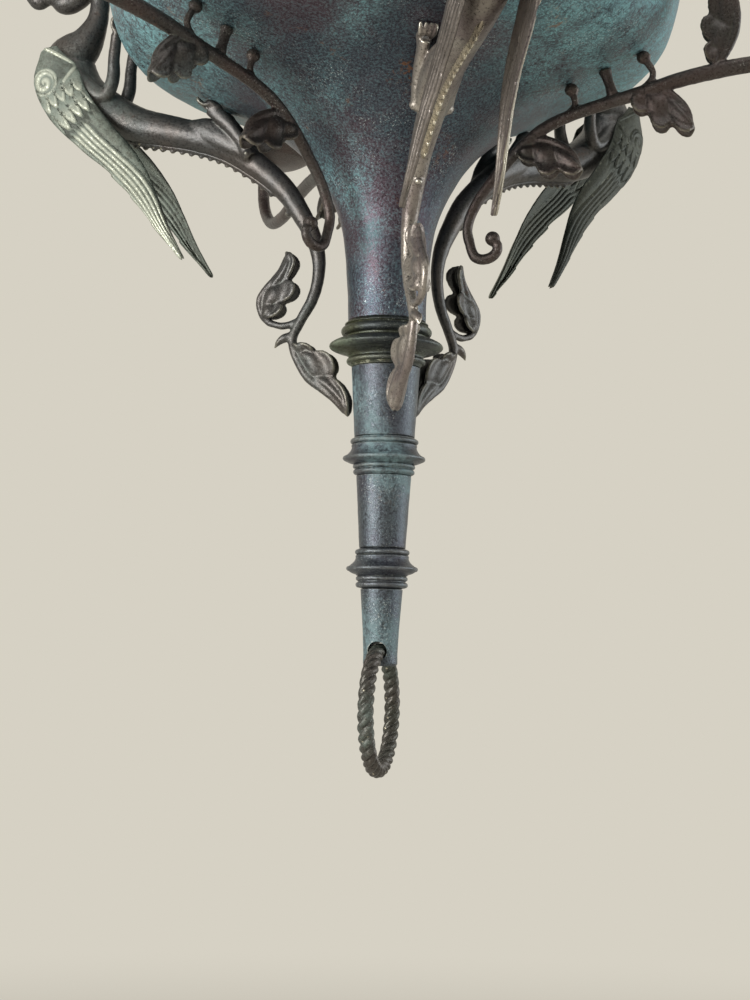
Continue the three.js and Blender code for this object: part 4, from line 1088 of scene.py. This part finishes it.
# %% Tail leaves
CURLED_RIB = (
    (58, 177.2), (64.1, 179.2), (67.6, 183), (69.4, 187.5), (69.4, 192), (66.2, 197), (61.5, 202.3),
    (57.5, 207.5), (55.6, 212), (55.5, 216.5),
)
CURLED_LOBES = (
    ((66.6, 183), (62.4, 181.8), (57.6, 183.4), (55.6, 187), (57.2, 190.4)),
    ((56.4, 190.2), (51.6, 191.2), (48.6, 195.4), (49.6, 199.6), (53.6, 201.9)),
    ((53.4, 201.6), (50.4, 206.4), (49.2, 211), (51.2, 214.6), (55.2, 216.6)),
)
HANGING_RIB = (
    (51.6, 170.5), (50.6, 164.8), (47.4, 157.8), (42, 149.6), (34.4, 143.8), (26.2, 137.2), (21.8, 132),
    (20.2, 128.8),
)
HANGING_LOBES = (
    ((48.6, 166), (44.6, 166.8), (40, 165.6), (37.4, 162)),
    ((37.2, 162.4), (33, 163), (28.4, 160.2), (26, 154.6), (27.4, 149.6)),
    ((27.4, 149.6), (23.2, 145.8), (19.8, 139.6), (19, 133.4), (20.2, 129)),
)


def tail_leaves(bm):
    leaf(bm, CURLED_RIB, CURLED_LOBES, (0.2, 0.34, 0.52, 1.0))
    limb(bm, line((47, 180), (52, 178), (58, 177.2), (64.1, 179.2)), [2, 2, 1.9, 1.7], along=24, around=14)
    leaf(bm, HANGING_RIB, HANGING_LOBES, (0.06, 0.18, 0.42, 1.0), rib_width=2.5)
    spur = line((51, 171.5), (55.4, 170.6), (58.6, 168.6), (61, 165.2))
    limb(bm, spur, [2.4, 2.8, 2.2, 0.4], [2.4, 2.4, 1.6, 0.4], along=20, around=10)


# %% Three dragons
def dragon_mesh():
    bm = bmesh.new()
    limb(bm, trunk_line, trunk_width, trunk_depth, along=190, around=32)
    head(bm)
    for hand in (-1, 1):
        hind_leg(bm, hand)
        fore_leg(bm, hand)
    tail_leaves(bm)
    ball(bm, on_trunk(trunk_share(50), 90, 0.2), (2.2, 2.2, 1.6))
    mesh = cast(bm, "cast_dragon", 0.7, 2)
    weather(mesh, 0.12, 4, 31)
    return mesh


def crest_mesh():
    bm = bmesh.new()
    keel(bm, trunk_share(150), trunk_share(57))
    crest(bm, trunk_share(140), trunk_share(60), 16)
    return cast(bm, "crest", 0.5, 1)


def united(meshes, name):
    """Several meshes as one, with each one's number as its material."""
    bm = bmesh.new()
    for number, mesh in enumerate(meshes):
        before = len(bm.faces)
        bm.from_mesh(mesh)
        bm.faces.ensure_lookup_table()
        for face in bm.faces[before:]:
            face.material_index = number
    return meshed(bm, name)


dragon_pattern = united([dragon_mesh(), crest_mesh()], "dragon_pattern")
for number, azimuth in enumerate(DRAGON_TURNS, start=1):
    # The front dragon takes the paler finish with painted highlight, and its keel and teeth the pale gold
    # with painted highlight.
    finishes = [front_tone_and_highlight_finish, rubbed_and_highlight_finish] if number == 1 else [dragon_finish, dragon_finish]
    name = f"dragon_{number}"
    place_copy(dragon_pattern, azimuth, f"cast_{name}", finishes, name)
print("dragon", triangles(dragon_pattern), "triangles")

# %% [markdown]
# ## Wings
# A wing is a curved blade that sweeps back along the body from its shoulder. Its outside carries the
# relief: a cap with a rosette and a pointed flap at the shoulder, two rows of scale-like coverts, and long
# flight feathers whose raised edges are pale. The relief is a height over the blade, worked out from how
# far along and across each point is.

# %% Wing form
# The wing's line is radius, height and distance from the dragon's middle plane
WING_LINE = (
    (190, 332, 15.1), (186, 318, 15.4), (178, 301, 15.9), (162, 283, 16.1), (147, 268.5, 16.5),
    (136, 255.5, 17.3), (127.5, 243, 18.5), (117, 226, 19.9), (105.5, 210, 21.1),
)
WING_CHORD = (5, 13, 13, 11, 9.6, 8.2, 6, 3.2, 0.7)
FEATHERS, COVERTS = 5, 5
COVERT_ROWS = ((0.17, 0.255), (0.235, 0.325))
ROSETTE, ROSETTE_RADIUS, RIM_RADIUS = (190.5, 312), 6.6, 6.9
FLAP = ((194, 333), (172.5, 321.5), (179, 312))


def step_up(value, low, high):
    """0 below low, 1 above high and smooth between."""
    share = min(max((value - low) / (high - low), 0.0), 1.0)
    return share * share * (3 - 2 * share)


def feather_relief(u, t):
    """Height in millimetres: t is 0 at the outer, lower edge and 1 at the inner one."""
    fill = 0.62 + 0.38 * step_up(u, 0.42, 0.8)
    lane = t / fill * FEATHERS
    part = lane - math.floor(lane)
    arch = 0.02 * math.sin(math.pi * part)
    start = step_up(u, 0.315 + arch, 0.345 + arch)
    inside = 1 - step_up(lane, FEATHERS - 0.1, FEATHERS + 0.15)
    edge = math.exp(-(((part - 0.3) / 0.21) ** 2))
    vane = 0.3 * math.sin(math.pi * part) ** 0.8
    rest = min(1.0, max(0.0, (t - fill) / max(0.02, 1 - fill)))
    return start * (inside * (0.85 * edge + vane) + (1 - inside) * 0.35 * math.sin(math.pi * rest))


def covert_relief(u, t):
    """Rows of overlapping scales between the shoulder and the flight feathers."""
    height = 0.0
    for row, (low, high) in enumerate(COVERT_ROWS):
        lane = t * COVERTS + 0.5 * row
        part = lane - math.floor(lane)
        arch = low + (high - low) * (0.35 + 0.65 * math.sin(math.pi * part) ** 0.6)
        body = step_up(u, low - 0.02, low + 0.015) * (1 - step_up(u, arch - 0.008, arch + 0.004))
        rim = math.exp(-(((u - arch + 0.012) / 0.008) ** 2)) * step_up(u, low, low + 0.02)
        height = max(height, body * (0.3 + 0.6 * (u - low) / (high - low)) + 0.35 * rim)
    return height


def shoulder_relief(place):
    """A rosette in a raised rim, and a pointed flap, at fixed places in millimetres on the shoulder."""
    radius, height = place.x / MM, place.z / MM + EYE_HEIGHT
    dx, dz = radius - ROSETTE[0], height - ROSETTE[1]
    distance = math.hypot(dx, dz)
    coil = 0.5 + 0.5 * math.cos(math.atan2(dz, dx) - distance * 1.35)
    rosette = (1 - step_up(distance, ROSETTE_RADIUS - 1, ROSETTE_RADIUS)) * (0.35 + 0.75 * coil)
    rim = 0.9 * math.exp(-(((distance - RIM_RADIUS) / 0.6) ** 2))
    flap = 0.0
    for (r0, z0), (r1, z1) in zip(FLAP, FLAP[1:]):
        reach = Vector((r1 - r0, z1 - z0))
        share = min(max(Vector((radius - r0, height - z0)).dot(reach) / reach.length_squared, 0), 1)
        gap = math.hypot(radius - r0 - reach.x * share, height - z0 - reach.y * share)
        flap = max(flap, 1.1 * math.exp(-((gap / 0.65) ** 2)))
    return max(rosette, rim, flap)


def wing_mesh(hand):
    """The blade with its relief; hand is 1 for the dragon's left wing."""
    points = sided(hand, WING_LINE)
    outward = Vector((0, hand, 0))

    def blade(u, t):
        tangent = heading(points, u)
        lee = Vector((-tangent.z, 0, tangent.x))
        v = 1 - 2 * t
        notch = 0.0
        if v > 0 and u > 0.4:
            beat = (u - 0.4) * 7
            notch = 0.9 * step_up(beat - math.floor(beat), 0, 0.9) * v**4
        return run(points, u) + lee * (v * (level(WING_CHORD, u) - notch) * MM)

    @lru_cache(maxsize=None)
    def relief(u, t):
        height = feather_relief(u, t) + covert_relief(u, t)
        if u < 0.2:
            height = max(height, shoulder_relief(blade(u, t)))
        return height * min(1.0, 8 * min(t, 1 - t) + 0.25)

    def middle(u, t):
        tangent = heading(points, u)
        flat = (outward - tangent * outward.dot(tangent)).normalized()
        bow = 1.6 - 1.9 * (1 - 2 * t) ** 2
        return blade(u, t) + flat * ((bow + 0.8 * relief(u, t)) * MM)

    def half(u, t):
        rim = math.sqrt(max(0.0, 1 - abs(2 * t - 1) ** 6))
        ends = math.sqrt(max(0.0, 1 - abs(2 * u - 1) ** 40))
        return 0.95 * MM * rim * ends

    bm = bmesh.new()
    bm.verts.layers.float_vector.new("drawn")
    shell(bm, 250, 72, middle, half)
    # Faces on the wing's inner side take the second finish, the darker copy that paints shade there.
    for face in bm.faces:
        face.material_index = int(face.normal.y * hand < -0.2)
    mesh = meshed(bm, "wing")
    drawn = [tuple(spot.vector) for spot in mesh.attributes["drawn"].data]
    raised = mesh.attributes.new("raised", "FLOAT", "POINT").data
    for spot, (u, v, _) in zip(raised, drawn):
        spot.value = relief(round(u, 6), round(1 - abs(2 * v - 1), 6)) if v < 0.5 else 0.5
    return mesh


# %% Six wings
for side, hand in (("left", 1), ("right", -1)):
    pattern = wing_mesh(hand)
    weather(pattern, 0.07, 3, 41 + hand)
    print(side, "wing", triangles(pattern), "triangles")
    for number, azimuth in enumerate(DRAGON_TURNS, start=1):
        # The back dragons' wings take the darker copy on their inner side as painted shade; the front
        # dragon's wings take the paler finish with painted highlight on both sides.
        finishes = [brown_wing_and_highlight_finish] * 2 if number == 1 else [wing_finish, wing_inside_painted_shade_finish]
        name = f"dragon_{number}_{side}_wing"
        place_copy(pattern, azimuth, f"cast_{name}", finishes, name)

# %% [markdown]
# ## Branches
# A branch starts as a volute beside the neck, climbs under the bowl and sweeps out to its candle. Two
# leaves droop from it, one stands up beside the bowl, and two tendrils curl up to touch the bowl with a
# small round end.

# %% Branch form
# The branch's line is radius, height and half-width, and each leaf is its rib and the edges of its lobes
BRANCH_REACH, SHOULDER_Z, PEG_LENGTH = 350, 354.6, 15.4
BOSS_RADIUS, TENDRIL_RADII = 112, (94, 130)
BRANCH_LINE = (
    (44, 214, 2.6), (42, 225, 2.7), (47, 238.5, 2.8), (57, 252, 2.9), (68.5, 265, 3), (81, 275, 3.1),
    (96, 281.5, 3.2), (112, 286, 3.3), (130, 290.5, 3.5), (148, 295.5, 3.8), (166, 299, 4.1),
    (186, 301.5, 4.1), (227, 302.6, 4.1), (276.2, 299.9, 4.1), (320.5, 306.8, 4.1), (346.7, 327, 4.1),
    (350, 350.4, 4.1),
    (BRANCH_REACH, SHOULDER_Z, 4.1),
)
BRANCH_LEAVES = (
    (
        ((71, 265), (79, 269.4), (88, 266.6), (96, 260.5), (101, 252.5)),
        (
            ((72, 265.5), (68.4, 260.6), (71.6, 257), (77, 256)),
            ((77, 256.2), (80, 250.6), (86, 249.6), (89.6, 252.8)),
            ((89.4, 252.6), (93, 249.4), (98, 249), (101, 252.5)),
        ),
    ),
    (
        ((126, 290.5), (136, 292.6), (145.5, 288.5), (153, 280), (157, 270.5)),
        (
            ((127, 289.5), (126.4, 283.4), (129.6, 279.4), (134.8, 279.4)),
            ((134.8, 279.2), (136.6, 272.4), (141.6, 269.8), (146.4, 273.2)),
            ((146.2, 273), (150, 268.6), (154.6, 267.6), (157, 270.5)),
        ),
    ),
    (
        ((167, 300.5), (173, 309), (177, 319), (177.5, 330), (175.5, 339), (173, 346)),
        (
            ((168.6, 303), (163.4, 306), (162, 311), (165.6, 315)),
            ((165.6, 315), (160.6, 319), (160.8, 325), (164, 328.4)),
            ((164, 328), (163.8, 335), (167.6, 341.6), (173, 346)),
        ),
    ),
)


def tendril(bm, places, radius):
    """A thin curl from the branch to the bowl, with a round end that rests on it."""
    height, normal = bowl_at(radius)
    touch = at(radius, height) + normal * 0.0022
    limb(bm, (*line(*places), tuple(touch)), [2.2, 1.8, 1.7, 2], along=28, around=12)
    ball(bm, touch + normal * 0.0008, (3.7, 3.1, 3.4))


def branch_mesh():
    bm = bmesh.new()
    places = [(r, z) for r, z, _ in BRANCH_LINE]
    limb(bm, line(*places), [w for _, _, w in BRANCH_LINE], along=260, around=20)
    volute = line((44, 214), (46, 210), (50, 208.3), (55, 209.6), (57.8, 213), (57.6, 217))
    limb(bm, volute, [2.6, 2.7, 2.7, 2.7, 2.6, 2.6], along=40, around=18)
    ball(bm, at(55.2, 219), (3.9, 3.9, 3.9))
    for rib, lobes in BRANCH_LEAVES:
        leaf(bm, rib, lobes, (0.0, 0.14, 0.4, 1.0))
    tendril(bm, ((84, 276), (91, 280.5), (97, 286.5)), TENDRIL_RADII[0])
    tendril(bm, ((122, 288.5), (131, 292.5), (136.5, 299.5)), TENDRIL_RADII[1])
    height, normal = bowl_at(BOSS_RADIUS)
    root = at(BOSS_RADIUS, height)
    boss = tuple(tuple(root + normal * (d * MM)) for d in (14, 8, 4, 0.3))
    limb(bm, boss, [3, 2.6, 2.8, 3.6], along=12, around=18)
    return cast(bm, "cast_branch", 0.7, 2)


def branch_end():
    """The turned shoulder and peg at the branch's far end."""
    z = SHOULDER_Z
    outline = [
        (0, z - 9), *cove((0, z - 9), (4.1, z - 8), -0.4, 4), (4.1, z - 8),
        *cove((4.1, z - 8), (8.4, z - 2.6), 1.1, 7), (9, z - 2), *roll(8.4, z - 1.1, 0.8, 0.8, 6), (8.6, z),
        (4, z), (4, z + PEG_LENGTH), (0, z + PEG_LENGTH),
    ]
    return turned(outline, "branch_end", 1.0, 64, BRANCH_REACH)


branch_casting = branch_mesh()
weather(branch_casting, 0.12, 4, 51)
branch_pattern = united([branch_casting, branch_end()], "branch_pattern")
for number, azimuth in enumerate(BRANCH_TURNS, start=1):
    name = f"branch_{number}"
    place_copy(branch_pattern, azimuth, f"cast_{name}", [branch_finish] * 2, name)
print("branch", triangles(branch_pattern), "triangles")

# %% [markdown]
# ## Drip pans and candle cups
# These lie outside the photograph. The pan is a shallow dish with a rolled rim and a beaded well, and the
# cup is a small baluster with a flared mouth, both usual on such branches.


# %% Pans and cups
PAN_Z, CUP_Z, CUP_TOP, SOCKET_FLOOR = 354.9, 357.6, 397.0, 375.0


def pan_outline(z):
    return [
        (ROD_BORE, z), (12, z), (13, z + 0.2),
        *cove((13, z + 0.2), (29.6, z + 3.2), -0.9, 9), (29.6, z + 3.2),
        *cove((29.6, z + 3.2), (36.2, z + 7.6), -0.6, 7), *roll(36.4, z + 8.3, 1.4, 1.0, 8),
        (35.6, z + 9.2), *cove((35.6, z + 9.2), (28.9, z + 5.6), 0.7, 7), (28.9, z + 5.6), (14.6, z + 3.2),
        (13.8, z + 2.6), (12.2, z + 2.4), (ROD_BORE, z + 2.4), (ROD_BORE, z),
    ]


def cup_outline(z, top, floor):
    rise = top - z
    return [
        (ROD_BORE, z), (9, z), (9.2, z + 0.8), *cove((9.2, z + 0.8), (7.4, z + 4), 0.7, 5), (7.4, z + 4),
        *roll(7.6, z + 5.2, 1.5, 0.9, 7), (8.6, z + 7.2),
        *cove((8.6, z + 7.2), (13.8, z + rise * 0.5), -1.2, 9), (13.8, z + rise * 0.52),
        *roll(13.4, z + rise * 0.58, 1.0, 0.8, 6), (12.8, z + rise * 0.64),
        *cove((12.8, z + rise * 0.64), (14.4, top - 2.6), 0.8, 8), *roll(14.4, top - 1.4, 1.3, 1.2, 8),
        (13, top), (11.4, top), (11.4, floor), (0, floor), (0, floor - 4), (ROD_BORE, floor - 4),
        (ROD_BORE, z),
    ]


pan_pattern = turned(pan_outline(PAN_Z), "pan_pattern", 1.6, 96, BRANCH_REACH)
cup_pattern = turned(cup_outline(CUP_Z, CUP_TOP, SOCKET_FLOOR), "cup_pattern", 1.2, 72, BRANCH_REACH)
for number, azimuth in enumerate(BRANCH_TURNS, start=1):
    pan, cup = f"drip_pan_{number}", f"candle_cup_{number}"
    place_copy(pan_pattern, azimuth, f"turned_{pan}", [branch_finish], pan)
    place_copy(cup_pattern, azimuth, f"turned_{cup}", [branch_finish], cup)
print("pan", triangles(pan_pattern), "cup", triangles(cup_pattern), "triangles")

# %% [markdown]
# ## Above the dome
# A crown collar, a short baluster and the eye that the hook holds close the stack. They are out of the
# picture and follow what such chandeliers have.


# %% Crown, top stem and eye
EYE_RADIUS, EYE_WIRE, EYE_CENTRE_Z = 17, 4.3, 602.5


def crown_outline(z, h, r):
    return [
        (r, z), *roll(r, z + h * 0.16, 3, h * 0.13), (r - 3, z + h * 0.31), (r - 5, z + h * 0.36),
        *cove((r - 5, z + h * 0.36), (r - 14.6, z + h * 0.66), 2.2, 9), (r - 14.6, z + h * 0.67),
        *roll(r - 17, z + h * 0.82, 3, h * 0.12), (r - 18, z + h * 0.96), (r - 18, z + h),
    ]


def top_stem_outline(z, h):
    swell = smooth_outline([
        (10, z + h * 0.13), (13.5, z + h * 0.3), (15, z + h * 0.45), (11, z + h * 0.7), (8.5, z + h * 0.86),
    ], 22)
    return [
        (12, z), (12, z + h * 0.05), (10.4, z + h * 0.09), *swell, (10.8, z + h * 0.9),
        *roll(11, z + h * 0.95, 0.9, h * 0.035, 6), (11.2, z + h),
    ]


def eye_base(z, h):
    seat = z + 13
    return turned([
        (ROD_BORE, z), (13, z), *roll(12.4, z + h * 0.12, 1.3, h * 0.1, 7), (11.2, z + h * 0.3),
        *cove((11.2, z + h * 0.3), (11.8, z + h * 0.58), 0.9, 6), (11.8, z + h * 0.6),
        *cove((11.8, z + h * 0.6), (6.4, z + h), -0.8, 7), (6.4, z + h), (0, z + h + 2), (0, seat),
        (ROD_BORE, seat), (ROD_BORE, z),
    ], "eye_base", 1.1, 72)


def eye_mesh(z, h):
    """The eye's ring on its turned base, in one casting."""
    bm = bmesh.new()
    lie = Matrix.Translation((EYE_RADIUS * MM, 0, 0)) @ Matrix.Rotation(math.pi / 2, 4, "X")
    wire = bmesh.ops.create_circle(bm, segments=24, radius=EYE_WIRE * MM, matrix=lie)["verts"]
    rim = list({e for v in wire for e in v.link_edges})
    bmesh.ops.spin(
        bm, geom=wire + rim, axis=(0, 1, 0), cent=(0, 0, 0), angle=2 * math.pi, steps=72, use_merge=True
    )
    bmesh.ops.translate(bm, verts=bm.verts, vec=at(0, EYE_CENTRE_Z))
    bm.from_mesh(eye_base(z, h))
    bmesh.ops.recalc_face_normals(bm, faces=bm.faces)
    return cast(bm, "eye", 0.55, 2)


crown = crown_outline(500.9, 26, CROWN_RADIUS)
stack("turned_crown", crown, ROD_BORE, collar_finish, "crown_collar", 61)
top_stem = top_stem_outline(527.2, 40)
stack("turned_top_stem", top_stem, ROD_BORE, stem_finish, "top_stem", 62)
eye = eye_mesh(567.5, 18)
weather(eye, 0.08, 4, 63)
place_piece(eye, "cast_eye", [branch_finish], "suspension_loop")
print("eye", triangles(eye), "triangles")

# %% [markdown]
# ## Rod and screws
# The steel tie rod and the nine screws are hidden inside, and their measured shapes are right as they are,
# so they only get their finish.

# %% Hidden steel
for name, node in nodes.items():
    if name == "tie_rod" or name.endswith("_screw"):
        node.data.materials.clear()
        node.data.materials.append(steel_finish)

# %% [markdown]
# ## Floor, light and background
# The chandelier hangs free, with a plain pale floor well below it. The floor fades out far from the object,
# so that it meets the background without a line. The world is pale where the camera, a reflection or glass
# sees it, and gives a plain soft light otherwise. Large lamps light the object from the left, the right and
# above.

# %% Stage
PALE, DAYLIGHT = ink(214, 209, 196), ink(250, 248, 244)
FLOOR_HEIGHT, FLOOR_SIZE = -1.5, 6
FADE_START, FADE_END = 2.0, 4.5


def floor_material():
    material = bpy.data.materials.new("pale_floor")
    tree = empty_tree(material)
    where = put(tree, "ShaderNodeTexCoord").outputs["Object"]
    flat = put(tree, "ShaderNodeVectorMath", {0: where}, operation="LENGTH").outputs["Value"]
    fade = ramp(tree, flat, FADE_START, FADE_END)
    matt = put(tree, "ShaderNodeBsdfDiffuse", {"Color": PALE})
    clear = put(tree, "ShaderNodeBsdfTransparent")
    mixed = put(tree, "ShaderNodeMixShader", {0: fade, 1: matt.outputs[0], 2: clear.outputs[0]})
    put(tree, "ShaderNodeOutputMaterial", {"Surface": mixed.outputs[0]})
    return material


bm = bmesh.new()
bmesh.ops.create_grid(bm, x_segments=4, y_segments=4, size=FLOOR_SIZE)
floor = linked("floor", meshed(bm, "floor"))
floor.data.materials.append(floor_material())
floor.location.z = FLOOR_HEIGHT


def pale_world(strength):
    """Pale where the camera or a reflection sees it, and a plain soft light of that strength elsewhere."""
    world = bpy.data.worlds.new("studio")
    tree = empty_tree(world)
    path = put(tree, "ShaderNodeLightPath").outputs
    seen = sums(tree, "MAXIMUM", path["Is Camera Ray"], path["Is Glossy Ray"])
    seen = sums(tree, "MAXIMUM", seen, path["Is Transmission Ray"])
    backdrop = put(tree, "ShaderNodeBackground", {"Color": PALE, "Strength": 1.0})
    ambient = put(tree, "ShaderNodeBackground", {"Color": DAYLIGHT, "Strength": strength})
    mixed = put(tree, "ShaderNodeMixShader", {0: seen, 1: ambient.outputs[0], 2: backdrop.outputs[0]})
    put(tree, "ShaderNodeOutputWorld", {"Surface": mixed.outputs[0]})
    bpy.context.scene.world = world


def lamp(name, place, size, power, tint, height=-0.42):
    """A square area lamp that looks at the axis at that height."""
    data = bpy.data.lights.new(name, "AREA")
    data.size = size
    data.energy = power
    data.color = tint
    light = linked(name, data)
    light.location = place
    light.rotation_euler = (Vector((0, 0, height)) - Vector(place)).to_track_quat("-Z", "Y").to_euler()


pale_world(0.52)
lamp("window_left", (-1.6, -0.8, -0.4), 0.9, 40, (1.0, 0.98, 0.95))
lamp("window_right", (1.7, -0.2, -0.3), 1.1, 15, (0.92, 0.97, 1.0))
lamp("from_above", (0.2, -0.9, 1.4), 1.4, 14, (1.0, 1.0, 1.0), height=-0.4)
